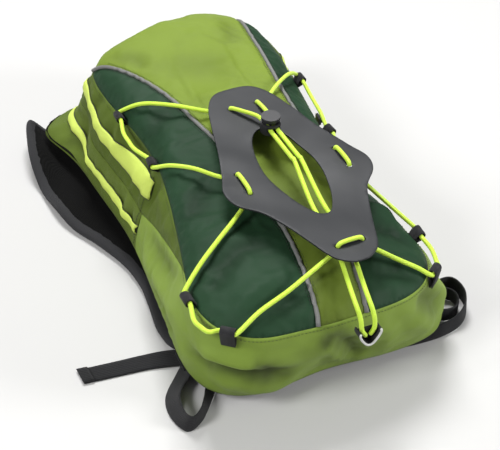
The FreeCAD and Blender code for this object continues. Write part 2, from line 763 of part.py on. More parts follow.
def ladder_lock(side):
    """The flat plastic frame with two slots and a gripping bar at a strap's lower end."""
    name = "left" if side < 0 else "right"
    body = doc.addObject("PartDesign::Body", f"ladder_{name}")
    plane = next(f for f in body.Origin.OriginFeatures if f.Role == "XY_Plane")

    def rectangle(label, width, length, y):
        sketch = body.newObject("Sketcher::SketchObject", f"{label}_{name}")
        sketch.AttachmentSupport, sketch.MapMode = [(plane, "")], "FlatFace"
        half_w, half_l = width / 2, length / 2
        corners = [(-half_w, y - half_l), (half_w, y - half_l), (half_w, y + half_l), (-half_w, y + half_l)]
        corners = [Vector(x, v, 0) for x, v in corners]
        for i in range(4):
            sketch.addGeometry(Part.LineSegment(corners[i], corners[(i + 1) % 4]), False)
        for i in range(4):
            sketch.addConstraint(Sketcher.Constraint("Coincident", i, 2, (i + 1) % 4, 1))
        sketch.addConstraint(Sketcher.Constraint("Horizontal", 0))
        sketch.addConstraint(Sketcher.Constraint("Vertical", 1))
        sketch.addConstraint(Sketcher.Constraint("Horizontal", 2))
        sketch.addConstraint(Sketcher.Constraint("Vertical", 3))
        return sketch

    pad = body.newObject("PartDesign::Pad", f"frame_{name}")
    pad.Profile = rectangle("frame_outline", size("ladder_width"), size("ladder_length"), 0)
    pad.setExpression("Length", "Sizes.ladder_thickness")
    doc.recompute()
    for i, y in enumerate((-size("ladder_length") / 4, size("ladder_length") / 4)):
        slot = rectangle(f"slot_{i}", size("webbing_width") + 1, size("lock_bar"), y)
        pocketed(body, slot, f"slot_cut_{i}_{name}")
    body.Placement = place(LADDER_X[side], -141, 3.4)
    return node(body, f"ladder_lock_{name}")


for side in SIDES:
    ladder_lock(side)

sternum_y, sternum_z, buckle_half = size("sternum_y"), 4.0, size("buckle_length") / 2


def sternum_webbing(start, end):
    """A flat strip across the chest between two places in X."""
    strip = Part.makeBox(abs(end - start), size("sternum_width"), thin, Vector(min(start, end), 0, sternum_z))
    strip.translate(Vector(0, sternum_y - size("sternum_width") / 2, 0))
    return strip


feature("sternum_webbing_left", sternum_webbing(-67, -buckle_half - 1))
feature("sternum_webbing_right", sternum_webbing(buckle_half + 6, 48))
buckle_spot = place(0, sternum_y, sternum_z - 2.8)
shell = box(
    "buckle_shell", "Sizes.buckle_length", "Sizes.buckle_width", "Sizes.buckle_thickness", buckle_spot,
)
throat = box(
    "buckle_throat", "Sizes.prong_length * 2", "Sizes.buckle_width - 5", "Sizes.buckle_thickness - 3",
    place(buckle_half, sternum_y, sternum_z - 1.3),
)
node(boolean("Cut", "buckle_socket", shell, throat), "sternum_buckle_socket")
prongs = box(
    "buckle_prongs", "Sizes.prong_length", "Sizes.buckle_width - 5.4", "Sizes.buckle_thickness - 3.4",
    place(buckle_half - size("prong_length") / 2 + 0.4, sternum_y, sternum_z - 1.1),
)
yoke = box("buckle_yoke", "4.8 mm", "Sizes.buckle_width - 2", "Sizes.buckle_thickness - 3.4",
           place(buckle_half + 2.7, sternum_y, sternum_z - 1.1))
node(fuse("buckle_plug", prongs, yoke), "sternum_buckle_plug")

# ---------------------------------------------------------------- grab handle


def handle():
    """A flat padded loop over the back seam between the straps."""
    foot, drop, half = size("handle_span") / 2, size("handle_drop"), size("handle_width") / 4
    outer = [Vector(-foot - half, 0, 0), Vector(0, drop + half, 0), Vector(foot + half, 0, 0)]
    inner = [Vector(-foot + half, 0, 0), Vector(0, drop - half, 0), Vector(foot - half, 0, 0)]
    arcs = [Part.Arc(*outer).toShape(), Part.Arc(*inner).toShape()]
    ends = [Part.makeLine(outer[0], inner[0]), Part.makeLine(outer[2], inner[2])]
    outline = Part.Wire(Part.__sortEdges__(arcs + ends))
    made = Part.Face(outline).extrude(Vector(0, 0, size("handle_thickness")))
    made.translate(Vector(0, size("back_top") + 8, back_z(0, size("back_top")) + 2))
    return made


feature("grab_handle", handle())

# ---------------------------------------------------------------- reservoir, its cap, hose and bite valve


def water_bag():
    """The filled reservoir: two sheets bulging between welded edges, with the filler neck on top."""
    w, l, t = size("reservoir_width"), size("reservoir_length"), size("reservoir_thickness")
    rings = []
    for share, level in ((0.86, 0.0), (1.0, 0.4), (1.0, 0.6), (0.86, 1.0)):
        points = [(0, -0.5), (0.38, -0.49), (0.5, -0.4), (0.5, 0), (0.5, 0.4), (0.38, 0.49), (0, 0.5),
                  (-0.38, 0.49), (-0.5, 0.4), (-0.5, 0), (-0.5, -0.4), (-0.38, -0.49)]
        curve = Part.BSplineCurve()
        scaled = [Vector(x * w * share, y * l * share, level * t) for x, y in points]
        curve.interpolate(Points=scaled, PeriodicFlag=True)
        rings.append(Part.Wire([curve.toShape()]))
    made = Part.makeLoft(rings, True, False)
    neck = Part.makeCylinder(size("neck_radius"), 5, Vector(0, l * 0.3, t - 0.5))
    made = made.fuse(neck)
    made.rotate(Vector(0, 0, 0), Vector(1, 0, 0), math.degrees(math.atan(size("back_slope"))))
    made.translate(Vector(0, size("reservoir_y"), size("back_height") + size("board") + 1.5))
    return made


water = feature("reservoir", water_bag())


def reservoir_place(y, z):
    """A place on the reservoir, in its own sloping frame."""
    tilt = math.degrees(math.atan(size("back_slope")))
    base = place(0, size("reservoir_y"), size("back_height") + size("board") + 1.5, (1, 0, 0), tilt)
    return base.multiply(place(0, y, z))


cap_y, cap_z = size("reservoir_length") * 0.3, size("reservoir_thickness") + 0.5
lid = primitive(
    "Cylinder", "lid", reservoir_place(cap_y, cap_z), Radius="Sizes.cap_radius", Height="Sizes.cap_thickness",
)
lid_bore = primitive(
    "Cylinder", "lid_bore", reservoir_place(cap_y, cap_z - 1), Radius="Sizes.neck_radius + 0.08",
    Height="Sizes.cap_thickness - 1",
)
node(boolean("Cut", "screw_lid", lid, lid_bore), "reservoir_cap")

HOSE_PATH = [
    (60, -192, 36), (80, -188, 36), (96, -165, 37), (98, -100, 39), (98, 0, 43), (100, 100, 48),
    (92, 168, 52),
    (66, 194, 53), (20, 200, 52),
]
feature("hose", swept([Vector(*p) for p in HOSE_PATH], size("hose_radius"), size("hose_bore")))

valve_place = place(18, 200, 52, (0, 1, 0), -90)
barrel = primitive(
    "Cylinder", "valve_barrel", valve_place, Radius="Sizes.valve_radius", Height="Sizes.valve_length",
)
node(barrel, "bite_valve")

# ---------------------------------------------------------------- checks and export

doc.recompute()
for thing in doc.Objects:
    if "Invalid" in thing.State or "Error" in thing.State:
        raise RuntimeError(f"{thing.Name} did not recompute: {thing.State}")
os.makedirs("parts", exist_ok=True)
for name, thing in nodes.items():
    if thing.Shape.isNull() or not thing.Shape.isValid():
        raise RuntimeError(f"{name} has no valid shape")
    thing.Shape.exportStep(f"parts/{name}.step")
print(f"{len(nodes)} sub-parts written")
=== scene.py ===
"""Looks of the hydration pack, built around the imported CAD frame. Lengths are in metres, written with MM where
that reads better, and tables of points are in millimetres."""

import math
import random

import bmesh
import bpy
import numpy as np
from mathutils import Matrix, Vector, geometry, noise
from mathutils.bvhtree import BVHTree
from mathutils.kdtree import KDTree


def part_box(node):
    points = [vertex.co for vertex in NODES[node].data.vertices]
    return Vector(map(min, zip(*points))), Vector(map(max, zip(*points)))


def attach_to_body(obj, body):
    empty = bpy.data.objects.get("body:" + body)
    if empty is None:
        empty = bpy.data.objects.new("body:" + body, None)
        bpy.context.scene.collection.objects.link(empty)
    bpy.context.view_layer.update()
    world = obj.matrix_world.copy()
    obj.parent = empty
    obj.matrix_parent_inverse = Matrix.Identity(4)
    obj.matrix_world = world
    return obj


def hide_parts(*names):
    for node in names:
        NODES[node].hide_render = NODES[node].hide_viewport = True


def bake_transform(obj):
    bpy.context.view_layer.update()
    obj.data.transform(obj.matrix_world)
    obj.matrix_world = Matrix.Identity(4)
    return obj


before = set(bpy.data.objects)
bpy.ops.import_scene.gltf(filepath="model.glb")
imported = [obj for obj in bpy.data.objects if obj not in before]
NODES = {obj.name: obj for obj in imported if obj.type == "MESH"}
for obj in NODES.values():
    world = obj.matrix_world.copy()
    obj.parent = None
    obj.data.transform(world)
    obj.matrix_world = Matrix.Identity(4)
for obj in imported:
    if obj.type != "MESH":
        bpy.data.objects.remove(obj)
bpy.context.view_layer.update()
MM = 0.001
SIDES = ((-1, "left"), (1, "right"))
rng = random.Random(11)

FRONT_NODES = ("centre_panel", "left_panel", "right_panel")
WALL_NODES = ("bottom_wrap", "front_gusset", "main_gusset", "front_zip_tape", "main_zip_tape")

# ------------------------------------------------------------------ reading shapes from the frame


def mesh_points(mesh):
    flat = np.zeros(len(mesh.vertices) * 3)
    mesh.vertices.foreach_get("co", flat)
    return flat.reshape(-1, 3)


class Surface:
    """Several CAD nodes as one surface for ray casts, remembering which node each face belongs to."""

    def __init__(self, names):
        verts, faces, self.owner = [], [], []
        for name in names:
            mesh, base = NODES[name].data, len(verts)
            verts.extend(map(tuple, mesh_points(mesh)))
            faces.extend(tuple(i + base for i in face.vertices) for face in mesh.polygons)
            self.owner.extend([name] * len(mesh.polygons))
        self.tree = BVHTree.FromPolygons(verts, faces, all_triangles=False)

    def hit(self, origin, direction):
        place, _, index, _ = self.tree.ray_cast(Vector(origin), Vector(direction).normalized())
        return place, (self.owner[index] if place else None)

    def nearest(self, point):
        _, _, index, _ = self.tree.find_nearest(Vector(point))
        return self.owner[index]


front_cad = Surface(FRONT_NODES)
wall_cad = Surface(WALL_NODES)
BACK_LEVEL, BACK_SLOPE = 22 * MM, 0.04
LEAN_PER_M = 14 / 470


def lean(y):
    """How far the filled front leans towards +X at this height up the pack."""
    return LEAN_PER_M * (y + 0.229)


def back_z(y):
    return BACK_LEVEL + BACK_SLOPE * y


def front_z(x, y):
    return 0.108 + 0.05 * y - 0.05 * (x - lean(y))


def ease(value):
    t = min(max(value, 0.0), 1.0)
    return t * t * (3 - 2 * t)


def front_top(x, y):
    """Height of the crowned front, or of its seam where the front ends."""
    place, _ = front_cad.hit((x, y, 0.3), (0, 0, -1))
    return max(place.z, front_z(x, y)) if place else front_z(x, y)


# ------------------------------------------------------------------ materials


def material(name, base, rough=0.6, sheen=0.0, vary=0.12, weave=0.0, weave_mm=0.7, crease_bump_and_shade=0.0, grain=0.0,
             coat=0.0, metallic=0.0, rib=0.0, rib_count=10.0, spec=0.5, painted_low_shade=0.0, alpha=1.0):
    """A procedural material: mottled colour, weave, ribs or grain, creased bumps, painted shade in folds and towards
    the bottom of the pack, and uneven roughness.
    """
    m = bpy.data.materials.new(name)
    m.use_nodes = True
    nodes, links = m.node_tree.nodes, m.node_tree.links
    bsdf = nodes["Principled BSDF"]
    coords = nodes.new("ShaderNodeTexCoord")
    where = coords.outputs["Object"]

    def make_noise(scale, detail, distortion=0.0, source=where):
        tex = nodes.new("ShaderNodeTexNoise")
        for slot, value in (("Scale", scale), ("Detail", detail), ("Distortion", distortion)):
            tex.inputs[slot].default_value = value
        links.new(source, tex.inputs["Vector"])
        return tex.outputs["Fac"]

    def calc(op, a, b=0.0):
        n = nodes.new("ShaderNodeMath")
        n.operation = op
        for slot, value in zip(n.inputs, (a, b)):
            if isinstance(value, (int, float)):
                slot.default_value = value
            else:
                links.new(value, slot)
        return n.outputs[0]

    def split(source):
        parts = nodes.new("ShaderNodeSeparateXYZ")
        links.new(source, parts.inputs[0])
        return parts.outputs

    def blended(share, a, strength):
        """A colour that goes from a to the base colour times a strength."""
        n = nodes.new("ShaderNodeMix")
        n.data_type = "RGBA"
        links.new(share, n.inputs["Factor"])
        if isinstance(a, float):
            n.inputs["A"].default_value = (*[c * a for c in base], 1)
        else:
            links.new(a, n.inputs["A"])
        n.inputs["B"].default_value = (*[min(c * strength, 1.0) for c in base], 1)
        return n.outputs["Result"]

    mottled = make_noise(22.0, 4.0, 0.4)
    fine = make_noise(900.0, 2.0)
    shade = calc("ADD", calc("MULTIPLY", calc("SUBTRACT", mottled, 0.5), vary * 2),
                 calc("MULTIPLY", calc("SUBTRACT", fine, 0.5), vary * 0.9))
    colour = blended(calc("ADD", shade, 0.5), 0.5, 1.5)
    # painted shade: the colour darkens towards the bottom of the pack (low Y), standing in for the shade the lower
    # front lies in
    if painted_low_shade:
        down = nodes.new("ShaderNodeMapRange")
        down.interpolation_type = "SMOOTHSTEP"
        for slot, value in (("From Min", 0.04), ("From Max", -0.14), ("To Min", 0.0), ("To Max", painted_low_shade)):
            down.inputs[slot].default_value = value
        links.new(split(where)[1], down.inputs["Value"])
        colour = blended(down.outputs["Result"], colour, 0.2)
    # painted shade: the colour is pulled down towards 0.16 of the base where the per-vertex fold depth attribute says a
    # point lies deep in a fold
    if crease_bump_and_shade:
        crease_shade = nodes.new("ShaderNodeAttribute")
        crease_shade.attribute_name = "crease_shade"
        colour = blended(crease_shade.outputs["Fac"], colour, 0.16)
    links.new(colour, bsdf.inputs["Base Color"])
    links.new(calc("ADD", calc("MULTIPLY", mottled, 0.16), rough - 0.08), bsdf.inputs["Roughness"])
    for slot, value in (("Metallic", metallic), ("Specular IOR Level", spec), ("Coat Weight", coat), ("Alpha", alpha),
                        ("Sheen Weight", sheen), ("Sheen Roughness", 0.4)):
        bsdf.inputs[slot].default_value = value

    height = calc("MULTIPLY", fine, (grain or 0.10) * MM)
    if weave:
        x, y, z = split(where)
        pitch = 2 * math.pi / (weave_mm * MM)
        across = calc("SINE", calc("MULTIPLY", calc("ADD", x, z), pitch))
        along = calc("SINE", calc("MULTIPLY", calc("SUBTRACT", y, z), pitch))
        height = calc("ADD", height, calc("MULTIPLY", calc("MULTIPLY", across, along), weave * MM))
    if rib:
        along, across, _ = split(coords.outputs["UV"])
        ribs = calc("SINE", calc("MULTIPLY", across, 2 * math.pi * rib_count))
        picks = calc("SINE", calc("MULTIPLY", along, 2 * math.pi * rib_count * 1.7))
        height = calc("ADD", height, calc("MULTIPLY", calc("ADD", ribs, calc("MULTIPLY", picks, 0.6)), rib * MM))
    if crease_bump_and_shade:
        stretched = nodes.new("ShaderNodeMapping")
        stretched.inputs["Scale"].default_value = (1.0, 0.6, 0.8)
        links.new(where, stretched.inputs["Vector"])
        height = calc("ADD", height, calc("MULTIPLY", make_noise(16.0, 2.5, 0.5, stretched.outputs[0]), crease_bump_and_shade * MM))
    bump = nodes.new("ShaderNodeBump")
    bump.inputs["Strength"].default_value = 1.0
    bump.inputs["Distance"].default_value = 1.0
    links.new(height, bump.inputs["Height"])
    links.new(bump.outputs[0], bsdf.inputs["Normal"])
    return m


POLYESTER = {"rough": 0.66, "sheen": 0.03, "weave": 0.04, "crease_bump_and_shade": 1.8, "vary": 0.16, "spec": 0.25}
SMOOTH_POLYESTER = {**POLYESTER, "crease_bump_and_shade": 1.2, "vary": 0.10}
MAT = {key: material(name, base, **settings) for key, name, base, settings in (
    ("green", "light_green_polyester", (0.134, 0.194, 0.016), {**SMOOTH_POLYESTER, "painted_low_shade": 0.45}),
    ("gusset", "mid_green_polyester", (0.060, 0.092, 0.007), {**POLYESTER, "sheen": 0.02, "spec": 0.2}),
    ("flap", "back_green_polyester", (0.072, 0.108, 0.009), POLYESTER),
    ("wrap", "wrap_green_polyester", (0.152, 0.225, 0.029), {**SMOOTH_POLYESTER, "rough": 0.62}),
    ("nylon", "dark_green_nylon", (0.0120, 0.0360, 0.0165), dict(weave=0.02, crease_bump_and_shade=1.0, vary=0.16, spec=0.12)),
    ("neon", "zip_tape_neon", (0.46, 0.56, 0.100), dict(rough=0.66, weave=0.04, crease_bump_and_shade=0.6, vary=0.08, spec=0.2)),
    ("cord", "elastic_cord_neon", (0.50, 0.86, 0.045), dict(rough=0.5, sheen=0.1, rib=0.07, rib_count=6.0, vary=0.05)),
    ("plate", "plate_charcoal", (0.0150, 0.0162, 0.0184),
     dict(rough=0.52, grain=0.04, crease_bump_and_shade=0.8, vary=0.05, spec=0.25)),
    ("plastic", "moulded_black", (0.018, 0.018, 0.020), dict(rough=0.42, grain=0.03, vary=0.08, spec=0.35)),
    ("webbing", "webbing_charcoal", (0.016, 0.016, 0.018),
     dict(rough=0.75, sheen=0.05, rib=0.14, rib_count=9.0, vary=0.10, spec=0.25)),
    ("binding", "binding_tape_grey", (0.020, 0.020, 0.022),
     dict(rough=0.78, sheen=0.05, weave=0.08, weave_mm=1.0, spec=0.2)),
    ("mesh", "spacer_mesh_black", (0.0025, 0.0025, 0.0025),
     dict(rough=0.9, weave=0.35, weave_mm=2.4, vary=0.15, spec=0.12)),
    ("piping", "piping_grey", (0.14, 0.14, 0.135), dict(rough=0.45, weave=0.04, weave_mm=0.8, vary=0.10, spec=0.3)),
    ("trim", "loop_trim_light", (0.50, 0.50, 0.49), dict(rough=0.4, weave=0.04, vary=0.08)),
    ("thread", "thread_green", (0.055, 0.085, 0.010), dict(rough=0.7, vary=0.08)),
    ("thread_dark", "thread_dark", (0.008, 0.012, 0.008), dict(rough=0.7, vary=0.08)),
    ("lining", "lining_black", (0.006, 0.006, 0.007), dict(rough=0.85, weave=0.06, vary=0.10, spec=0.2)),
    ("film", "water_film", (0.36, 0.55, 0.68), dict(rough=0.2, coat=0.3, vary=0.08, alpha=0.75)),
    ("cap", "cap_blue", (0.03, 0.10, 0.30), dict(rough=0.35, grain=0.03, vary=0.06)),
    ("metal", "slider_black_paint", (0.02, 0.02, 0.022), dict(rough=0.35, metallic=0.6, grain=0.02, vary=0.08)),
)}


# ------------------------------------------------------------------ mesh helpers


def attach(obj, body, replaces):
    bpy.context.scene.collection.objects.link(obj)
    if body:
        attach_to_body(obj, body)
    if replaces:
        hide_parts(*replaces)
    return obj


def new_object(name, verts, faces, mat, body=None, smooth=True, replaces=(), uvs=None):
    """A mesh object riding on a body."""
    mesh = bpy.data.meshes.new(name)
    mesh.from_pydata([tuple(v) for v in verts], [], [tuple(f) for f in faces])
    mesh.validate()
    if uvs is not None:
        layer = mesh.uv_layers.new(name="UVMap")
        for loop in mesh.loops:
            layer.data[loop.index].uv = uvs[loop.vertex_index]
    if smooth:
        mesh.shade_smooth()
    mesh.materials.append(MAT[mat])
    return attach(bpy.data.objects.new(name, mesh), body, replaces)


def modifier(obj, kind, name, **settings):
    mod = obj.modifiers.new(name, kind)
    for key, value in settings.items():
        setattr(mod, key, value)
    return mod


def thicken(obj, thickness, offset):
    """Rounds a sheet off and gives it its thickness."""
    modifier(obj, "SUBSURF", "Subdivision", levels=1, render_levels=1)
    modifier(obj, "SOLIDIFY", "Thickness", thickness=thickness, offset=offset)


def catmull(points, spacing, closed=False):
    """A smooth curve through points, resampled at even spacing."""
    pts = [np.array(p, float) for p in points]
    n = len(pts)
    dense = []
    for i in range(n if closed else n - 1):
        near = [k % n if closed else min(max(k, 0), n - 1) for k in range(i - 1, i + 3)]
        p0, p1, p2, p3 = (pts[k] for k in near)
        for k in range(24):
            t = k / 24
            dense.append(0.5 * (2 * p1 + (p2 - p0) * t + (2 * p0 - 5 * p1 + 4 * p2 - p3) * t**2
                                + (3 * p1 - p0 - 3 * p2 + p3) * t**3))
    dense.append(pts[0] if closed else pts[-1])
    dense = np.array(dense)
    steps = np.linalg.norm(np.diff(dense, axis=0), axis=1)
    run = np.concatenate([[0], np.cumsum(steps)])
    count = max(int(round(run[-1] / spacing)), 2)
    wanted = np.linspace(0, run[-1], count + 1)
    out = np.stack([np.interp(wanted, run, dense[:, k]) for k in range(3)], 1)
    return out[:-1] if closed else out


def frames_along(path, up=(0, 0, 1)):
    """Tangent, side and normal at each point, with the normal kept near a wanted direction (one or one per point)."""
    ups = np.broadcast_to(np.array(up, float), (len(path), 3))
    tangents = np.gradient(path, axis=0)
    tangents /= np.linalg.norm(tangents, axis=1)[:, None]
    side = np.cross(tangents, ups)
    side /= np.linalg.norm(side, axis=1)[:, None] + 1e-12
    return tangents, side, np.cross(side, tangents)


def sweep(name, path, section, mat, body=None, up=(0, 0, 1), replaces=(), pitch=1.0):
    """A closed cross-section swept along a path and capped; section points are (side, normal)."""
    path, section = np.array(path), np.array(section)
    _, side, normal = frames_along(path, up)
    n, m = len(path), len(section)
    verts = path[:, None] + side[:, None] * section[None, :, :1] + normal[:, None] * section[None, :, 1:2]
    verts = verts.reshape(-1, 3)
    run = np.concatenate([[0], np.cumsum(np.linalg.norm(np.diff(path, axis=0), axis=1))])
    faces = [(i + k, i + (k + 1) % m, i + m + (k + 1) % m, i + m + k)
             for i in range(0, (n - 1) * m, m) for k in range(m)]
    faces += [tuple(range(m))[::-1], tuple(range((n - 1) * m, n * m))]
    uvs = [(run[i] / pitch, k / m) for i in range(n) for k in range(m)]
    return new_object(name, verts, faces, mat, body, replaces=replaces, uvs=uvs)


def grid_faces(rows, columns):
    """The quads of a grid of vertices given row by row."""
    step = columns + 1
    return [(a + k, a + step + k, a + step + k + 1, a + k + 1)
            for a in range(0, rows * step, step) for k in range(columns)]


def circle(radius, count=12):
    return [(radius * math.cos(a), radius * math.sin(a)) for a in np.arange(count) * 2 * math.pi / count]


def strip(width, thick):
    """A flat webbing cross-section with rounded edges."""
    w, t = width / 2, thick / 2
    c = min(t * 0.95, 0.6 * MM)
    return [(-w + c, -t), (0, -t), (w - c, -t), (w, -t + c), (w, t - c), (w - c, t), (0, t), (-w + c, t), (-w, t - c),
            (-w, -t + c)]


def join(name, objects, body=None, replaces=()):
    """Several mesh objects as one piece."""
    merged = bmesh.new()
    with_uv = any(o.data.uv_layers for o in objects)
    if with_uv:
        merged.loops.layers.uv.new("UVMap")
    slots = []
    for o in objects:
        if with_uv and not o.data.uv_layers:
            o.data.uv_layers.new(name="UVMap")
        start = len(merged.faces)
        merged.from_mesh(o.data)
        merged.faces.ensure_lookup_table()
        (mat,) = o.data.materials
        if mat not in slots:
            slots.append(mat)
        for face in merged.faces[start:]:
            face.material_index = slots.index(mat)
        bpy.data.objects.remove(o)
    mesh = bpy.data.meshes.new(name)
    merged.to_mesh(mesh)
    merged.free()
    for mat in slots:
        mesh.materials.append(mat)
    return attach(bpy.data.objects.new(name, mesh), body, replaces)


STITCH_PITCH, STITCH_LENGTH, THREAD_RADIUS = 3.2 * MM, 2.2 * MM, 0.32 * MM


def stitches(name, path, mat, ups):
    """A row of thread stitches lying on the pack along a path, given the surface's normals there."""
    path = catmull(path, STITCH_PITCH)
    pick = np.linspace(0, len(ups) - 1, len(path)).round().astype(int)
    verts, faces = [], []
    ring = circle(THREAD_RADIUS, 5)
    for p, t, s, n in zip(path, *frames_along(path, np.array(ups)[pick])):
        base = len(verts)
        for along, size, sink in ((-0.5, 0.35, -0.3), (-0.22, 1, 0.1), (0.22, 1, 0.1), (0.5, 0.35, -0.3)):
            for a, b in ring:
                verts.append(p + t * along * STITCH_LENGTH + s * a * size + n * (b * size + sink * THREAD_RADIUS))
        faces += [(r + k, r + (k + 1) % 5, r + 5 + (k + 1) % 5, r + 5 + k)
                  for r in range(base, base + 15, 5) for k in range(5)]
        faces += [tuple(range(base, base + 5))[::-1], tuple(range(base + 15, base + 20))]
    return new_object(name, verts, faces, mat, "pack")


# ------------------------------------------------------------------ the sewn body as one cloth

RING_COUNT, LEVELS = 280, 18
SPINE_LOW, SPINE_HIGH, SPINE_RADIUS = -0.130, 0.140, 0.09
STRAIGHT, HALF_TURN = SPINE_HIGH - SPINE_LOW, math.pi * SPINE_RADIUS


def ray_at(s):
    """A ray that faces the pack's spine, at a distance around it: its start and its outward direction."""
    if s < STRAIGHT:
        return (0.0, SPINE_LOW + s), (1.0, 0.0)
    if s < STRAIGHT + HALF_TURN:
        a = (s - STRAIGHT) / SPINE_RADIUS
        return (0.0, SPINE_HIGH), (math.cos(a), math.sin(a))
    if s < 2 * STRAIGHT + HALF_TURN:
        return (0.0, SPINE_HIGH - (s - STRAIGHT - HALF_TURN)), (-1.0, 0.0)
    a = math.pi + (s - 2 * STRAIGHT - HALF_TURN) / SPINE_RADIUS
    return (0.0, SPINE_LOW), (math.cos(a), math.sin(a))


RAYS = [ray_at(2 * (STRAIGHT + HALF_TURN) * i / RING_COUNT) for i in range(RING_COUNT)]


def wall_point(ray, share):
    """A point of the wall's outer face, at a share of the way up from the back seam to the front seam."""
    (ox, oy), (dx, dy) = ray
    inside = min(max(share, 0.02), 0.975)
    x, y = ox + dx * 0.1, oy + dy * 0.1
    for _ in range(3):
        z = back_z(y) + (front_z(x, y) - back_z(y)) * inside
        place, _ = wall_cad.hit((ox + dx * 0.4, oy + dy * 0.4, z), (-dx, -dy, 0))
        if place is None:
            raise RuntimeError(f"no wall at {ray} {share}")
        x, y = place.x, place.y
    return np.array((x, y, back_z(y) + (front_z(x, y) - back_z(y)) * share))


def corner_drawn_in(x, y, share):
    """How far the half empty top left corner is drawn in above the back, which stands out there as a flap."""
    depth = np.interp(share, (0, 0.12, 0.3, 0.65, 0.88, 1), (0, 16, 25, 14, 5, 0)) * MM
    corner = depth * ease((y - 0.115) / 0.08) * ease((-0.02 - x) / 0.07)
    top = np.interp(share, (0, 0.3, 0.7, 0.9, 1), (0, 6, 18, 19, 8)) * MM
    return max(corner, top * ease((y - 0.165) / 0.05) * ease((0.05 - x) / 0.05))


def drawn_wall_point(ray, share):
    place = wall_point(ray, share)
    place[:2] -= np.array(ray[1]) * corner_drawn_in(place[0], place[1], share)
    return place


rings = np.array([[drawn_wall_point(ray, level / LEVELS) for ray in RAYS] for level in range(LEVELS + 1)])
seam = rings[-1]
SIDE_PANEL = {-1: "left_panel", 1: "right_panel"}


def seam_split(y, side):
    """Where, at a height up the pack, a piped seam lies on the front: X between a side panel and the centre panel."""
    def on_side(x):
        return front_cad.hit((x, y, 0.3), (0, 0, -1))[1] == SIDE_PANEL[side]

    xs = np.linspace(lean(y), side * 0.13 + lean(y), 60)
    hits = [i for i, x in enumerate(xs) if on_side(x)]
    if not hits:
        return None
    a, b = xs[max(hits[0] - 1, 0)], xs[hits[0]]
    for _ in range(12):
        mid = (a + b) / 2
        a, b = (a, mid) if on_side(mid) else (mid, b)
    return b


def piping_line(side):
    """The piped seam in plan from bottom to top, with both ends on the front seam."""
    box_low, box_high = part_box(SIDE_PANEL[side])
    points = [(seam_split(y, side), y) for y in np.arange(box_low.y + 0.006, box_high.y - 0.002, 0.005)]
    points = np.array([p for p in points if p[0] is not None])
    ends = []
    for p, q in ((points[0], points[3]), (points[-1], points[-4])):
        ahead = p + (p - q) * 0.4
        ends.append(int(np.argmin(np.linalg.norm(seam[:, :2] - ahead, axis=1))))
    return points, ends


PIPING = {side: piping_line(side) for side in (-1, 1)}


def plan_mesh(loops, lines, grid, keep_off):
    """A triangulated sheet in plan: closed loops bound it, lines are kept as edges, and a jittered grid fills it."""
    outer, *holes = [np.array(loop) for loop in loops]
    coords, edges = [], []

    def add(points, ends=(), closed=False):
        chain = list(range(len(coords), len(coords) + len(points)))
        coords.extend((float(x), float(y)) for x, y in points)
        chain = [*ends[:1], *chain, *ends[1:]] + chain[:closed]
        edges.extend(zip(chain[:-1], chain[1:]))

    for loop in loops:
        add(loop, closed=True)
    for points, ends in lines:
        add(points, ends)
    known = np.array(coords)
    low_xy, high_xy = known.min(0), known.max(0)
    row = grid * 0.866
    for r in range(int((high_xy[1] - low_xy[1]) / row) + 1):
        for x in np.arange(low_xy[0] + (grid / 2 if r % 2 else 0), high_xy[0], grid):
            p = (x + rng.uniform(-1, 1) * grid * 0.12, low_xy[1] + r * row + rng.uniform(-1, 1) * grid * 0.12)
            near = np.min(np.linalg.norm(known - p, axis=1))
            if near > keep_off and inside_loop(p, outer) and not in_holes(p, holes):
                coords.append(p)
    result = geometry.delaunay_2d_cdt([Vector(c) for c in coords], edges, [], 1, 1e-7)
    verts = [tuple(v) for v in result[0]]
    return verts, [tuple(f) for f in result[2] if not in_holes(np.mean([verts[i] for i in f], 0), holes)]


def inside_loop(p, loop):
    x, y = p
    x0, y0 = loop[:, 0], loop[:, 1]
    x1, y1 = np.roll(x0, -1), np.roll(y0, -1)
    crosses = ((y0 > y) != (y1 > y)) & (x < (x1 - x0) * (y - y0) / (y1 - y0 + 1e-15) + x0)
    return bool(np.count_nonzero(crosses) % 2)


def in_holes(p, holes):
    return any(inside_loop(p, hole) for hole in holes)


def build_body():
    """The wall rings and the front sheet as one bmesh, with the rest position kept for each vertex."""
    plan, faces = plan_mesh([seam[:, :2]], [PIPING[-1], PIPING[1]], 5.2 * MM, 3.0 * MM)
    bm = bmesh.new()
    wall = [[bm.verts.new(p) for p in ring] for ring in rings]
    for lower, upper in zip(wall[:-1], wall[1:]):
        for i in range(RING_COUNT):
            j = (i + 1) % RING_COUNT
            bm.faces.new((lower[i], lower[j], upper[j], upper[i]))
    top = []
    for x, y in plan:
        gap = np.linalg.norm(seam[:, :2] - (x, y), axis=1)
        nearest = int(np.argmin(gap))
        top.append(wall[-1][nearest] if gap[nearest] < 0.05 * MM else bm.verts.new((x, y, front_top(x, y))))
    for f in faces:
        corners = [top[i] for i in f]
        if len(set(corners)) == 3 and geometry.area_tri(*(c.co for c in corners)) > 1e-9:
            face = bm.faces.new(corners)
            face.normal_update()
            if face.normal.z < 0:
                face.normal_flip()
    return bm


def cut_plane(bm, point, normal, keep):
    """Adds a line of edges where a plane crosses the faces that a test keeps."""
    faces = [f for f in bm.faces if keep(f.calc_center_median())]
    geom = list({v for f in faces for v in f.verts} | {e for f in faces for e in f.edges}) + faces
    bmesh.ops.bisect_plane(bm, geom=geom, plane_co=point, plane_no=normal, dist=0.4 * MM)


SEAM_Y = 0.0
WRAP_LEVEL, WRAP_RISE = 66 * MM, -0.29
DIVIDER_LEVEL = 66 * MM

body_bm = build_body()


def on_wall(c):
    return c.z < front_z(c.x, c.y) - 0.2 * MM


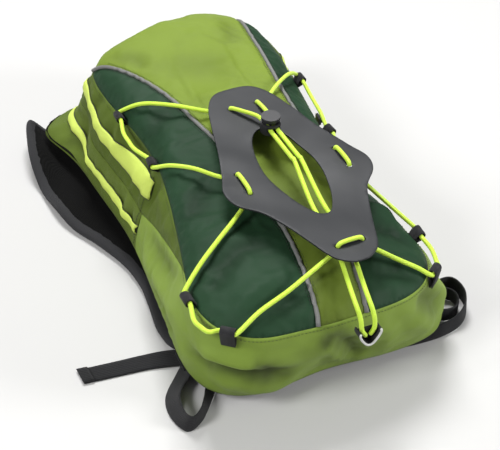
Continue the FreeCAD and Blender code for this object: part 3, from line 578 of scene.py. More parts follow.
cut_plane(body_bm, (0, SEAM_Y, 0), (0, 1, 0), on_wall)
cut_plane(body_bm, (0, 0, WRAP_LEVEL), (0, -WRAP_RISE, 1), lambda c: on_wall(c) and c.y < 0)
cut_plane(body_bm, (0, 0, DIVIDER_LEVEL), (0, -BACK_SLOPE, 1), lambda c: on_wall(c) and c.y > 0)
body_bm.normal_update()

REGIONS = ("centre_panel", "left_panel", "right_panel", "bottom_wrap", "front_gusset", "main_gusset")


def region_of(c):
    """Which cloth panel a point of the body belongs to."""
    if not on_wall(c):
        return front_cad.hit((c.x, c.y, 0.3), (0, 0, -1))[1] or front_cad.nearest(c)
    if c.y < SEAM_Y and c.z < WRAP_LEVEL + WRAP_RISE * c.y:
        return "bottom_wrap"
    if c.y < SEAM_Y or c.z > DIVIDER_LEVEL + BACK_SLOPE * c.y:
        return "front_gusset"
    return "main_gusset"


tag = body_bm.faces.layers.int.new("region")
for f in body_bm.faces:
    f[tag] = REGIONS.index(region_of(f.calc_center_median()))


body_bm.verts.ensure_lookup_table()
body_bm.verts.index_update()
# vertices where two panels meet, and the open back edge
SEAMS = {v.index for e in body_bm.edges
         if len({f[tag] for f in e.link_faces}) > 1 or len(e.link_faces) < 2 for v in e.verts}
rest = np.array([v.co for v in body_bm.verts])


CLOTH_FRAMES, MOST_MOVED = 20, 5 * MM


def puff(obj, pinned):
    """Inflates a mesh as cloth from its rest shape with its seams held, and returns the new positions."""
    group = obj.vertex_groups.new(name="pin")
    group.add([int(i) for i in pinned], 1.0, "REPLACE")
    cloth = modifier(obj, "CLOTH", "Cloth")
    for key, value in {"quality": 5, "mass": 0.25, "tension_stiffness": 18, "compression_stiffness": 18,
                       "shear_stiffness": 8, "bending_stiffness": 0.35, "air_damping": 4, "use_pressure": True,
                       "uniform_pressure_force": 2.2, "shrink_min": -0.018, "shrink_max": -0.018,
                       "vertex_group_mass": "pin"}.items():
        setattr(cloth.settings, key, value)
    cloth.settings.effector_weights.gravity = 0
    cloth.collision_settings.use_collision = False
    scene = bpy.context.scene
    cloth.point_cache.frame_start, cloth.point_cache.frame_end = 1, CLOTH_FRAMES
    for number in range(1, CLOTH_FRAMES + 1):
        scene.frame_set(number)
    moved = mesh_points(obj.evaluated_get(bpy.context.evaluated_depsgraph_get()).data)
    obj.modifiers.remove(cloth)
    scene.frame_set(1)
    start = mesh_points(obj.data)
    step = moved - start
    return start + step * np.minimum(1, MOST_MOVED / np.maximum(np.linalg.norm(step, axis=1)[:, None], 1e-9))


def simulated_body():
    mesh = bpy.data.meshes.new("body_sim")
    body_bm.to_mesh(mesh)
    obj = bpy.data.objects.new("body_sim", mesh)
    bpy.context.scene.collection.objects.link(obj)
    result = puff(obj, SEAMS)
    bpy.data.objects.remove(obj)
    return result


def vertex_normals(points, bm):
    for v, p in zip(bm.verts, points):
        v.co = p
    bm.normal_update()
    return np.array([v.normal for v in bm.verts])


# ------------------------------------------------------------------ folds pressed into the cloth

FOLDS = {
    "bottom_wrap": [
        ([(-117, -182, 52), (-110, -200, 57), (-99, -212, 59), (-84, -221, 57), (-66, -224, 49), (-46, -223, 41)], 7, -11.0),
        ([(-116, -186, 70), (-108, -203, 76), (-95, -215, 79), (-78, -225, 77), (-60, -228, 68)], 5.0, 5.0),
        ([(-112, -194, 49), (-103, -206, 52), (-90, -214, 53), (-74, -219, 49), (-58, -220, 41)], 6.0, 4.5),
        ([(-76, -224, 84), (-72, -225, 74), (-64, -226, 62), (-60, -225, 50)], 3.5, -4.0),
        ([(-113, -186, 80), (-104, -206, 80), (-87, -219, 77), (-70, -226, 74), (-50, -229, 66)], 9, 6.0),
        ([(-112, -190, 38), (-100, -206, 38), (-82, -214, 36), (-50, -216, 26)], 8, 4.5),
        ([(-72, -226, 84), (-60, -228, 62), (-48, -226, 48)], 6, -4.0),
        ([(-34, -229, 86), (-18, -229, 70), (2, -222, 46), (12, -212, 26)], 7, 5.0),
        ([(-14, -229, 88), (2, -228, 68), (16, -220, 44), (24, -212, 26)], 7, -7.0),
        ([(30, -228, 86), (44, -222, 60), (50, -214, 34)], 8, 4.0),
        ([(54, -224, 90), (74, -218, 66), (92, -206, 40)], 8, 4.5),
        ([(70, -218, 92), (90, -210, 70), (108, -198, 44)], 8, -6.0),
        ([(92, -206, 84), (108, -196, 66), (122, -180, 44)], 7, 4.0),
        ([(-108, -30, 66), (-110, -80, 78), (-113, -120, 88)], 7, -4.5),
        ([(-108, -30, 46), (-114, -90, 56), (-116, -150, 66)], 9, 4.0),
        ([(-110, -40, 30), (-116, -100, 38), (-117, -150, 42)], 8, -4.0),
        ([(105, -60, 40), (110, -130, 70)], 8, -3.5),
        ([(112, -90, 32), (120, -150, 50)], 9, 3.5),
    ],
    "left_panel": [
        ([(-40, -30, 125), (-62, -62, 121), (-84, -90, 112)], 10, -4.5),
        ([(-35, -100, 122), (-90, -130, 110)], 9, 3.6),
        ([(-30, -140, 120), (-60, -146, 116), (-92, -168, 106)], 9, -5.0),
        ([(-30, -178, 114), (-84, -198, 104)], 8, 4.0),
        ([(-22, -200, 110), (-60, -212, 103)], 7, -3.6),
        ([(-45, 70, 130), (-85, 30, 118)], 10, -3.4),
        ([(-60, 125, 130), (-92, 80, 122)], 9, 3.0),
        ([(-50, 30, 130), (-82, -10, 118)], 8, 2.8),
    ],
    "right_panel": [
        ([(45, -140, 115), (66, -150, 110), (88, -172, 104)], 8, -5.5),
        ([(50, -112, 118), (94, -138, 104)], 7, 5.0),
        ([(40, -180, 110), (88, -192, 100)], 7, 4.5),
        ([(36, -198, 108), (76, -206, 99)], 6, -4.0),
        ([(70, -50, 118), (85, -100, 106)], 8, -4.0),
        ([(80, 60, 122), (90, 120, 122)], 8, -3.0),
    ],
    "centre_panel": [
        ([(-40, 130, 140), (40, 100, 138)], 18, -2.4),
        ([(0, -200, 116), (10, -140, 124)], 8, 2.0),
        ([(-75, 175, 130), (-45, 130, 138)], 9, -3.0),
        ([(60, 205, 130), (50, 150, 136)], 9, -3.0),
        ([(-20, 228, 128), (10, 170, 138)], 12, 2.0),
        ([(-55, 205, 128), (-20, 195, 134)], 8, 2.2),
    ],
}
SLIDER_SIDE_Y = (0.015, 0.150)


def press_folds(points, normals):
    """Moves points along their normals by each panel's folds; also gives how deep in a fold each one lies, which the
    materials use as painted shade.
    """
    owner = [None] * len(points)
    for f in body_bm.faces:
        for v in f.verts:
            owner[v.index] = REGIONS[f[tag]]
    seam_points = rest[sorted(SEAMS)]
    kd = KDTree(len(seam_points))
    for i, p in enumerate(seam_points):
        kd.insert(p, i)
    kd.balance()
    away = np.array([kd.find(p)[2] for p in rest])
    fade = 1 - np.exp(-(away / (7 * MM)) ** 2)
    shift, crease_shade_sum = np.zeros(len(points)), np.zeros(len(points))
    for name, folds in FOLDS.items():
        members = np.array([i for i, o in enumerate(owner) if o == name])
        cloth = points[members]
        for line, width, depth in folds:
            path = catmull(np.array(line) * MM, 2.5 * MM)
            path = np.array([cloth[np.argmin(np.linalg.norm(cloth - q, axis=1))] for q in path])
            near = np.linalg.norm(cloth[:, None] - path[None], axis=2)
            along = np.argmin(near, axis=1) / (len(path) - 1)
            taper = np.clip(4 * along * (1 - along), 0.02, 1) ** 0.5
            gap = near.min(axis=1) / (width * MM)
            shift[members] += depth * MM * np.exp(-(gap ** 2)) * taper
            # painted shade: how deep each point lies in an inward fold, later used to darken the cloth's colour there
            crease_shade_sum[members] += max(-depth, 0) / 10 * np.exp(-((gap / 1.3) ** 2)) * taper
    ripple = np.zeros(len(points))
    for i, p in enumerate(rest):
        if owner[i] in ("front_gusset", "main_gusset"):
            along = p[1] if abs(p[0]) > 0.07 else p[0]
            wave = math.sin(along / (5.5 * MM) + 4.0 * noise.noise(Vector(p) * 20)) * 0.55
            wave += 1.6 * noise.noise(Vector((p[0] * 40, p[1] * 60, p[2] * 22)))
            ripple[i] = wave * (2.0 + 1.6 * math.exp(-(((p[1] - 0.02) / 0.05) ** 2))) * MM
        elif owner[i] == "bottom_wrap":
            ripple[i] = (noise.noise(Vector((p[0] * 24, p[1] * 24, p[2] * 34))) * 3.6
                         + noise.noise(Vector((p[0] * 60, p[1] * 60, p[2] * 75))) * 1.5) * MM
        else:
            ripple[i] = (noise.noise(Vector((p[0] * 24, p[1] * 15, 1.7))) * 2.4
                         + noise.noise(Vector((p[0] * 60, p[1] * 45, 4.2))) * 0.8) * MM
    out = points + normals * ((shift + ripple) * fade)[:, None]
    crease_shade = np.clip(crease_shade_sum * fade, 0, 0.9)
    low_y, high_y = SLIDER_SIDE_Y
    zip_side = (rest[:, 0] > 0.05) & (rest[:, 1] > low_y) & (rest[:, 1] < high_y) & (rest[:, 2] < 0.104)
    out[zip_side] = rest[zip_side] - normals[zip_side] * 0.4 * MM
    return out, crease_shade


cloth_points = simulated_body()
cloth_points, painted_crease_shade = press_folds(cloth_points, vertex_normals(cloth_points, body_bm))
final_normals = vertex_normals(cloth_points, body_bm)
for i in SEAMS:
    body_bm.verts[i].co -= Vector(final_normals[i]) * 0.7 * MM
body_bm.normal_update()

PANEL_LOOK = {
    "centre_panel": "green", "left_panel": "nylon", "right_panel": "nylon", "bottom_wrap": "wrap",
    "front_gusset": "gusset", "main_gusset": "flap",
}


def panel_piece(name):
    """One cloth panel cut out of the body along its seams, with thickness."""
    code = REGIONS.index(name)
    used, verts, faces = {}, [], []
    for f in body_bm.faces:
        if f[tag] != code:
            continue
        for v in f.verts:
            if v.index not in used:
                used[v.index] = len(verts)
                verts.append(tuple(v.co))
        faces.append(tuple(used[v.index] for v in f.verts))
    obj = new_object(name + "_cloth", verts, faces, PANEL_LOOK[name], "pack", replaces=(name,))
    # painted shade: the fold depth goes to the material as an attribute, which darkens the colour with it
    layer = obj.data.attributes.new("crease_shade", "FLOAT", "POINT")
    layer.data.foreach_set("value", [painted_crease_shade[i] for i in used])
    thicken(obj, 0.9 * MM, -1)
    return obj


for name in REGIONS:
    panel_piece(name)
skin = BVHTree.FromBMesh(body_bm)


def on_skin(point, lift=0.0):
    """The nearest place on the finished cloth, lifted off by a distance, and its outward normal."""
    place, normal, _, _ = skin.find_nearest(Vector(point))
    return np.array(place + normal * lift), np.array(normal)


def drape(points, lift):
    """A path resampled and laid on the cloth, with the cloth's normals."""
    places, normals = zip(*(on_skin(p, lift) for p in catmull(points, 4 * MM)))
    return np.array(places), np.array(normals)


# ------------------------------------------------------------------ piping, seams and stitching


def plan_path(points):
    return [(x, y, front_top(x, y)) for x, y in points]


for side, word in SIDES:
    points, ends = PIPING[side]
    line = [tuple(seam[ends[0]])] + plan_path(points[1:-1:2]) + [tuple(seam[ends[1]])]
    path, normals = drape(line, 0.9 * MM)
    sweep(f"piping_{word}", path, circle(2.0 * MM, 10), "piping", "pack", up=normals,
          replaces=("piping",) if side < 0 else ())
    for offset, thread in ((4.2 * MM, "thread_dark"), (-4.2 * MM, "thread")):
        shifted = [(x + side * offset, y) for x, y in points[2:-3:3]]
        stitch_path, stitch_normals = drape(plan_path(shifted), 0.25 * MM)
        stitches(f"piping_stitch_{word}_{thread}", stitch_path, thread, stitch_normals)


# ------------------------------------------------------------------ zips

RIGHT_END = SEAM_Y - SPINE_LOW
LEFT_END = STRAIGHT + HALF_TURN + SPINE_HIGH - SEAM_Y


def zip_strip(name, level, width, wide_end, lift, edge_lift, mat, lifted, wider, replaces=(), thick=0.7 * MM):
    """A tape that follows the wall around the top, wavy, and wider where it runs out at its left end; at the top left
    corner it is raised by `lifted` and its width grows by the share `wider`."""
    stations, across = 190, 7
    verts, uvs, bumps = [], [], []
    for i in range(stations + 1):
        s0 = RIGHT_END + (LEFT_END - RIGHT_END) * i / stations
        to_left = ease(1 - (LEFT_END - s0) / 0.15)
        to_right = ease(1 - (s0 - RIGHT_END) / 0.03)
        w = width + (wide_end - width) * max(to_left, to_right * 0.4)
        wave = 1.1 * MM * math.sin(s0 * 42 + level * 40) + 0.9 * MM * noise.noise(Vector((s0 * 14, level * 90, 0)))
        on_sliders = ease((s0 - RIGHT_END - 0.18) / 0.04)
        for k in range(across):
            u = k / (across - 1)
            (ox, oy), (dx, dy) = ray_at(min(max(s0, RIGHT_END + 0.5 * MM), LEFT_END))
            at_corner = ease((oy + dy * 0.1 - 0.10) / 0.07) * ease(-(ox + dx * 0.1) / 0.06)
            z = level + 0.02 * oy + wave * on_sliders + (u - 0.5) * w * (1 + wider * at_corner) + lifted * at_corner
            place, normal, _, _ = skin.ray_cast(Vector((ox + dx * 0.4, oy + dy * 0.4, z)), Vector((-dx, -dy, 0)))
            if place is None:
                place, normal, _, _ = skin.find_nearest(Vector((ox + dx * 0.11, oy + dy * 0.11, z)))
            bump = edge_lift + (lift * on_sliders + 0.25 * MM * (1 - on_sliders)) * (1 - (2 * u - 1) ** 2)
            verts.append(np.array(place + normal * bump))
            bumps.append(bump)
            uvs.append((s0 * 120, u))
    grid = np.array(verts).reshape(stations + 1, across, 3)
    for passes in (26, 5, 1):
        for _ in range(passes):
            ends = np.concatenate([2 * grid[:1] - grid[1:2], grid, 2 * grid[-1:] - grid[-2:-1]])
            grid = 0.25 * ends[:-2] + 0.5 * ends[1:-1] + 0.25 * ends[2:]
        for point, bump in zip(grid.reshape(-1, 3), bumps):
            place, normal, _, _ = skin.find_nearest(Vector(point))
            short = bump - (Vector(point) - place).dot(normal)
            if short > 0:
                point += np.array(normal) * short
    obj = new_object(name, grid.reshape(-1, 3), grid_faces(stations, across - 1), mat, "pack",
                     replaces=replaces, uvs=uvs)
    modifier(obj, "SOLIDIFY", "Thickness", thickness=thick, offset=-1)
    return obj


for word, level, wide, wide_end, lifted, wider in (("front", 89 * MM, 11 * MM, 19 * MM, 9 * MM, 0.5),
                                                   ("main", 48 * MM, 9 * MM, 10 * MM, 0, -0.1)):
    zip_strip(f"{word}_zip_flap", level, wide, wide_end, 1.7 * MM, 0.9 * MM, "neon", lifted, wider,
              (f"{word}_zip_tape",))
    # painted shadow: a dark strip a little wider than the flap, lying just under it, stands in for the shadow along the
    # flap's edges
    zip_strip(f"{word}_zip_painted_shadow", level, wide + 1.5 * MM, wide_end + 1.5 * MM, 0.1 * MM, 0.6 * MM, "thread_dark", lifted,
              wider, thick=0.2 * MM)

# ------------------------------------------------------------------ stitching along the seams

laid, laid_normals = drape([*seam[::3], seam[0]] - np.array((0, 0, 3.5 * MM)), 0.3 * MM)
stitches("front_seam_stitch", laid, "thread", laid_normals)
for side, word in SIDES:
    wall_side = [wall_cad.hit((side * 0.4, 4 * MM, z), (-side, 0, 0))[0] for z in np.linspace(0.030, 0.102, 12)]
    laid, laid_normals = drape(wall_side, 0.3 * MM)
    stitches(f"upright_stitch_{word}", laid, "thread_dark", laid_normals)

# ------------------------------------------------------------------ cord, its loops and the plate

PLATE = (Matrix.Translation((0.0127, 0, 0.147)) @ Matrix.Rotation(math.radians(2.8), 4, "Z")
         @ Matrix.Rotation(math.radians(2.6), 4, "X"))


def on_plate(x, y, z):
    """A place given in the plate's own frame, in millimetres, with z from its underside."""
    return np.array(PLATE @ Vector((x * MM, y * MM, z * MM)))


def seam_at(y, side):
    sided = seam[(seam[:, 0] - lean(seam[:, 1])) * side > 0.05]
    return sided[np.argmin(np.abs(sided[:, 1] - y))]


PLATE_HALF = [(0, 50), (20, 46), (33, 28), (42, -2), (50, -32), (62, -70), (70, -92), (66, -112), (50, -130), (38, -156),
              (29, -178), (20, -200), (8, -210), (0, -211)]
EYE_HALF = [(0, -19), (14, -30), (23, -60), (25, -90), (18, -122), (8, -143), (0, -148)]
HOLES = {"top": (13.5, 19), "upper": (48.5, -73), "lower": (48.5, -100), "bottom": (11.5, -189)}


def outline(points, spacing):
    return catmull([(x * MM, y * MM, 0) for x, y in points], spacing, closed=True)[:, :2]


def whole(half):
    return outline(half + [(-x, y) for x, y in reversed(half[1:-1])], 3 * MM)


def build_plate():
    """The floating sheet: holed for the cord, a little bent away from its holes, with a rounded edge."""
    spots = [np.array((side * x, y)) * MM for x, y in HOLES.values() for side in (-1, 1)]
    rims = [whole(PLATE_HALF), whole(EYE_HALF)] + [spot + np.array(circle(2.7 * MM, 14)) for spot in spots]
    plan, faces = plan_mesh(rims, [], 6 * MM, 2.0 * MM)
    held = np.array(spots + [np.array((0.006, -0.026))])
    verts = []
    for x, y in plan:
        near = np.min(np.linalg.norm(held - (x, y), axis=1))
        free = 1 - math.exp(-(near / (22 * MM)) ** 2)
        bend = (3.4 * noise.noise(Vector((x * 13, y * 13, 0.4))) + 0.9 * noise.noise(Vector((x * 34, y * 34, 5)))) * MM
        verts.append(PLATE @ Vector((x, y, 0.8 * MM + bend * free)))
    obj = new_object("plate_sheet", verts, faces, "plate", "plate", replaces=("cord_plate",))
    thicken(obj, 1.6 * MM, 0)
    modifier(obj, "BEVEL", "Edges", width=0.35 * MM, segments=2, limit_method="ANGLE", angle_limit=math.radians(50))


build_plate()
LOOP_SPOTS = {"upper": (85, 98, 0), "middle": (5.5, 5, 4), "lower": (-172, -158, -4), "corner": (-216, -205, -52)}
CORD = 2.0 * MM


def loop_centre(name, side):
    y = LOOP_SPOTS[name][0 if side < 0 else 1] * MM
    x = side * 0.096 + lean(y) if name == "corner" else seam_at(y, side)[0] + side * 4.5 * MM
    return np.array((x, y, front_z(x, y) + 5 * MM))


def loop_along(name, side):
    angle = math.radians(side * LOOP_SPOTS[name][2])
    return np.array((-math.sin(angle), math.cos(angle), 0))


def folded_tab(name, centre, along, tail):
    """A strip of webbing folded round the cord, with both ends brought together at its sewn tail."""
    out = centre - tail
    out = out - along * (out @ along)
    out /= np.linalg.norm(out)
    up = np.cross(out, along)
    back = (tail - centre) @ out / MM
    path = catmull([centre + (out * a + up * b) * MM for a, b in (
        (back, 0.8), (-1.5, 3.3), (2.475, 2.475), (3.795, 0), (2.475, -2.475), (-1.5, -3.3), (back, -0.8))], 0.9 * MM)
    ups = np.cross(along, np.gradient(path, axis=0))
    return sweep(name, path, strip(12.5 * MM, 1.3 * MM), "webbing", up=ups, pitch=4 * MM)


tabs = []
for side, word in SIDES:
    for spot in LOOP_SPOTS:
        centre = loop_centre(spot, side)
        if spot == "corner":
            outward = np.array((centre[0], centre[1] + 0.12, 0))
            outward /= np.linalg.norm(outward)
            tail, _ = on_skin(centre + outward * 2 * MM + np.array((0, 0, -15 * MM)), 0.6 * MM)
        else:
            tail = seam_at(centre[1], side) + np.array((-side * 2 * MM, 0, -1.5 * MM))
        tabs.append(folded_tab(f"tab_{word}_{spot}", centre, loop_along(spot, side), tail))
join("cord_loop_tabs", tabs, "pack", ("cord_loops",))


def leg(start, end):
    """Points of a cord's free run between the plate and a loop, kept clear of the cloth."""
    points = [start + (end - start) * share for share in (0.22, 0.5, 0.78)]
    return [np.array((x, y, max(z, front_top(x, y) + CORD + 5.4 * MM))) for x, y, z in points]


def cord_piece(name, path, body=None, blend=None, replaces=()):
    tangent = path[-1] - path[0]
    up = (0, 0, 1) if abs(tangent[2]) < 0.9 * np.linalg.norm(tangent) else (1, 0, 0)
    piece = sweep(name, path, circle(CORD), "cord", body, up=up, replaces=replaces, pitch=4 * MM)
    if blend:
        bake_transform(piece)


def nearest_index(path, point):
    return int(np.argmin(np.linalg.norm(path - point, axis=1)))


for side, word in SIDES:
    for run, first, second, start, end, slack in (("upper", "upper", "middle", "top", "upper", (6, 2)),
                                                  ("lower", "lower", "corner", "lower", "bottom", (12, 7))):
        a, b = (on_plate(side * HOLES[hole][0], HOLES[hole][1], -3) for hole in (start, end))
        c1, c2 = loop_centre(first, side), loop_centre(second, side)
        d1, d2 = -loop_along(first, side) * 7 * MM, -loop_along(second, side) * 7 * MM
        middle = (c1 + c2) / 2
        outward = np.array((middle[0] - lean(middle[1]), (middle[1] + 0.02) * 0.6, 0))
        bowed = outward / np.linalg.norm(outward) * slack[side > 0] * MM - np.array((0, 0, 2 * MM))
        bends = [c1 + (c2 - c1) * part + bowed * share for part, share in ((0.32, 0.9), (0.5, 1.0), (0.68, 0.9))]
        knots = [a] + leg(a, c1 - d1) + [c1 - d1, c1, c1 + d1] + bends + [c2 - d2, c2, c2 + d2] + leg(c2 + d2, b) + [b]
        path = catmull(knots, 1.6 * MM)
        i1, i2 = nearest_index(path, c1), nearest_index(path, c2)
        name = f"cord_{word}_{run}"
        cord_piece(name + "_in", path[:i1 + 1], blend=("plate", "pack"))
        cord_piece(name + "_side", path[i1:i2 + 1], "pack",
                   replaces=("cord_lacing",) if name == "cord_left_upper" else ())
        cord_piece(name + "_out", path[i2:], blend=("pack", "plate"))

OVER = 1.6 + 2 + 0.4
INTO_HOLE = OVER - 3.4
heights = (INTO_HOLE, OVER, OVER + 0.9, OVER, INTO_HOLE)
runs = [[(side * 48.5, y) for y in (-73, -75.5, -86.5, -97.5, -100)] for side in (-1, 1)]
runs.append([(x, -189) for x in (-11.5, -9, 0, 9, 11.5)])
join("cord_plate_stitches",
     [sweep(f"stitch_{i}", catmull([on_plate(x, y, z) for (x, y), z in zip(run, heights)], 1.2 * MM), circle(CORD),
            "cord", pitch=4 * MM) for i, run in enumerate(runs)], "plate", ("cord_stitches",))

LOOP_SPOT = np.array((0.012, -0.242, 0.094))
STRAND_Z = 1.8 + 5.4
for side, word in SIDES:
    x, y = 6 + side * 3.4, -26
    local = [(side * 13.5, 19, INTO_HOLE), (side * 13.2, 16.5, OVER), (x + side * 3, y + 21, STRAND_Z),
             (x, y + 12, STRAND_Z), (x, y, STRAND_Z), (x, y - 50, STRAND_Z), (x, y - 57, STRAND_Z),
             (side * 5, -134, -2.5), (side * 6, -172, -7)]
    knots = [on_plate(*q) for q in local]
    knots += [LOOP_SPOT + np.array((side * a, b, c)) * MM
              for a, b, c in ((6, 14, 27), (6, -1, 16), (5.5, -5, 5), (2, -5, -1.5))]
    path = catmull(knots, 1.6 * MM)
    turn = nearest_index(path, knots[6])
    cord_piece(f"strand_{word}_top", path[:turn + 1], "plate", replaces=("cord_strands",) if side < 0 else ())
    cord_piece(f"strand_{word}_low", path[turn:], blend=("plate", "pack"))

bow = catmull([(-9, 0, 6), (-9.2, 0, 3), (-6.6, 0, -2.5), (-3, 0, -7), (0, 0, -8.2), (3, 0, -7), (6.6, 0, -2.5),
               (9.2, 0, 3), (9, 0, 6)], 1.0) * MM + LOOP_SPOT + np.array((0, -5 * MM, 0))
facing = np.cross((0, 1, 0), np.gradient(bow, axis=0))
loop_parts = [sweep("light_strip", bow, strip(10 * MM, 1.6 * MM), "webbing", up=facing, pitch=4 * MM)]
loop_parts.append(sweep("light_trim", bow + np.array((0, -5 * MM, 0)), circle(1.0 * MM, 8), "trim", up=facing))
panel = [*(bow + np.array((0, 1 * MM, 0))), *(bow[::-1] + np.array((0, 2.5 * MM, 0)))]
count = len(bow)
rim = [(k, k + 1, 2 * count - 2 - k, 2 * count - 1 - k) for k in range(count - 1)]
loop_parts.append(new_object("light_back", panel, [tuple(range(count)), tuple(range(count, 2 * count))] + rim
                             + [(count - 1, 0, 2 * count - 1, count)], "lining", smooth=False))
join("light_loop_fold", loop_parts, "pack", ("light_loop",))

# ------------------------------------------------------------------ straps, pads and webbing


def padded_sheet(name, points, thick, body, lift=None, replaces=()):
    """A soft pad: rounded edges, a binding tape round the border and a groove inside it."""
    border = 10 * MM
    loop = outline(points, 5 * MM)
    along = np.roll(loop, -1, 0) - np.roll(loop, 1, 0)
    inward = np.stack([-along[:, 1], along[:, 0]], 1) / np.linalg.norm(along, axis=1)[:, None]
    if np.sum(loop[:, 0] * np.roll(loop[:, 1], -1) - np.roll(loop[:, 0], -1) * loop[:, 1]) < 0:
        inward = -inward
    inner = []
    for offset in (2.2 * MM, 5.5 * MM, border):
        line = [q for q in loop + inward * offset if np.min(np.linalg.norm(loop - q, axis=1)) > offset * 0.93]
        inner.append((line + line[:1], ()))
    plan, faces = plan_mesh([loop], inner, 7 * MM, 3.7 * MM)
    plan = np.array(plan)
    rim = np.array([np.min(np.linalg.norm(loop - q, axis=1)) for q in plan])
    on_rim = rim < 0.05 * MM
    verts, top, bottom = [], [], []
    for (x, y), d, edge in zip(plan, rim, on_rim):
        rise = math.sqrt(max(1 - (1 - min(d / (6 * MM), 1)) ** 2, 0))
        groove = -1.3 * MM * math.exp(-((d - border - 1.5 * MM) / (1.8 * MM)) ** 2)
        quilt = 0.8 * MM * noise.noise(Vector((x * 45, y * 45, 3.1))) * (d > border)
        base = lift(x, y) if lift else 0.0
        top.append(len(verts))
        verts.append((x, y, base + thick * (0.5 + 0.5 * rise) + groove + quilt))
        if edge:
            bottom.append(top[-1])
        else:
            bottom.append(len(verts))
            verts.append((x, y, base + thick * (0.5 - 0.5 * rise)))
    solid = []
    for f in faces:
        a, b, c = f
        area = (plan[b] - plan[a])[0] * (plan[c] - plan[a])[1] - (plan[b] - plan[a])[1] * (plan[c] - plan[a])[0]
        if area < 0:
            a, b, c = c, b, a
        if abs(area) < 1e-9:
            continue
        solid.append((top[a], top[b], top[c]))
        solid.append((bottom[c], bottom[b], bottom[a]))
    obj = new_object(name, verts, solid, "mesh", body, replaces=replaces)
    obj.data.materials.append(MAT["binding"])
    for poly in obj.data.polygons:
        centre = np.array(poly.center)[:2]
        if not inside_loop(centre, np.array(inner[-1][0])):
            poly.material_index = 1
    modifier(obj, "SUBSURF", "Subdivision", levels=1, render_levels=1)
    return obj


LEFT_STRAP = [(-124, 246), (-157, 258), (-170, 216), (-173, 166), (-162, 92), (-140, 44), (-124, 4), (-118, -32),
              (-119, -64), (-121, -98), (-113, -124), (-90, -126), (-70, -89), (-66, -37), (-71, 21), (-84, 104),
              (-98, 176), (-102, 222)]
RIGHT_STRAP = [(102, 240), (135, 244), (146, 206), (147, 168), (141, 104), (135, 21), (130, -37), (126, -89), (117, -124),
               (90, -126), (68, -89), (63, -37), (66, 21), (72, 104), (80, 176), (84, 218)]


def left_curl(x, y):
    """The outer edge of the left strap waves, and its top end curls up towards the pack's corner."""
    outer = ease((-0.128 - x) / 0.035)
    wave = 2.2 * MM * (1 + math.sin(y * 75)) * outer
    return wave + 24 * MM * ease((-0.132 - x) / 0.035) * ease((y - 0.150) / 0.09)


padded_sheet("strap_left_pad", LEFT_STRAP, 10 * MM, "strap_left", left_curl,
             replaces=("shoulder_strap_left",))
padded_sheet("strap_right_pad", RIGHT_STRAP, 10 * MM, "strap_right", replaces=("shoulder_strap_right",))


def pillow(name, x, y, width, length, flat=False):
    """One foam pad on the back panel, rounded over, flat underneath on the floor if asked."""
    cols, rows = 18, 34
    verts, faces = [], []
    for j in range(rows + 1):
        for i in range(cols + 1):
            u, v = 2 * i / cols - 1, 2 * j / rows - 1
            px, py = x + u * width / 2, y + v * length / 2
            top = back_z(py) - 0.3 * MM
            full = top if flat else 6 * MM
            edge = (max(1 - abs(u) ** 8, 0) * max(1 - abs(v) ** 10, 0)) ** 0.4
            verts.append((px, py, top - full * edge))
    for j in range(rows):
        for i in range(cols):
            a = j * (cols + 1) + i
            faces.append((a, a + cols + 1, a + cols + 2, a + 1))
    rim = list(range(cols + 1)) + [(j + 1) * (cols + 1) + cols for j in range(rows)]
    rim += [rows * (cols + 1) + i for i in range(cols - 1, -1, -1)] + [j * (cols + 1) for j in range(rows - 1, 0, -1)]
    faces.append(tuple(rim))
    return new_object(name, verts, faces, "mesh")


join("back_pad_foam", [pillow("rib_left", -0.046, 0.035, 0.056, 0.230), pillow("rib_right", 0.046, 0.035, 0.056, 0.230),
                       pillow("spine", 0, -0.018, 0.026, 0.064, True), pillow("lumbar", 0, -0.166, 0.140, 0.050, True)],
     "pack", ("back_pads",))

back_outline = [p[:2] - np.array(ray[1]) * 1.8 * MM for p, ray in zip(rings[0][::2], RAYS[::2])]
back_plan, back_faces = plan_mesh([np.array(back_outline)], [], 14 * MM, 6 * MM)
back_verts = [(x, y, back_z(y) + 1.4 * MM) for x, y in back_plan]
back_sheet = new_object("back_panel_cloth", back_verts, back_faces, "mesh", "pack",
                        replaces=("back_panel",))
modifier(back_sheet, "SOLIDIFY", "Thickness", thickness=1.2 * MM, offset=0)

divider_outline = []
for (ox, oy), (dx, dy) in RAYS[::2]:
    y = oy + dy * 0.11
    for _ in range(2):
        z = DIVIDER_LEVEL + BACK_SLOPE * y
        place, _, _, _ = skin.ray_cast(Vector((ox, oy, z)), Vector((dx, dy, 0)))
        y = place.y
    divider_outline.append((place.x - dx * 1.6 * MM, place.y - dy * 1.6 * MM))
divider_plan, divider_faces = plan_mesh([np.array(divider_outline)], [], 14 * MM, 6 * MM)
divider_verts = [(x, y, DIVIDER_LEVEL + BACK_SLOPE * y) for x, y in divider_plan]
divider = new_object("divider_cloth", divider_verts, divider_faces, "lining", "pack",
                     replaces=("divider_panel",))
modifier(divider, "SOLIDIFY", "Thickness", thickness=0.8 * MM, offset=0)


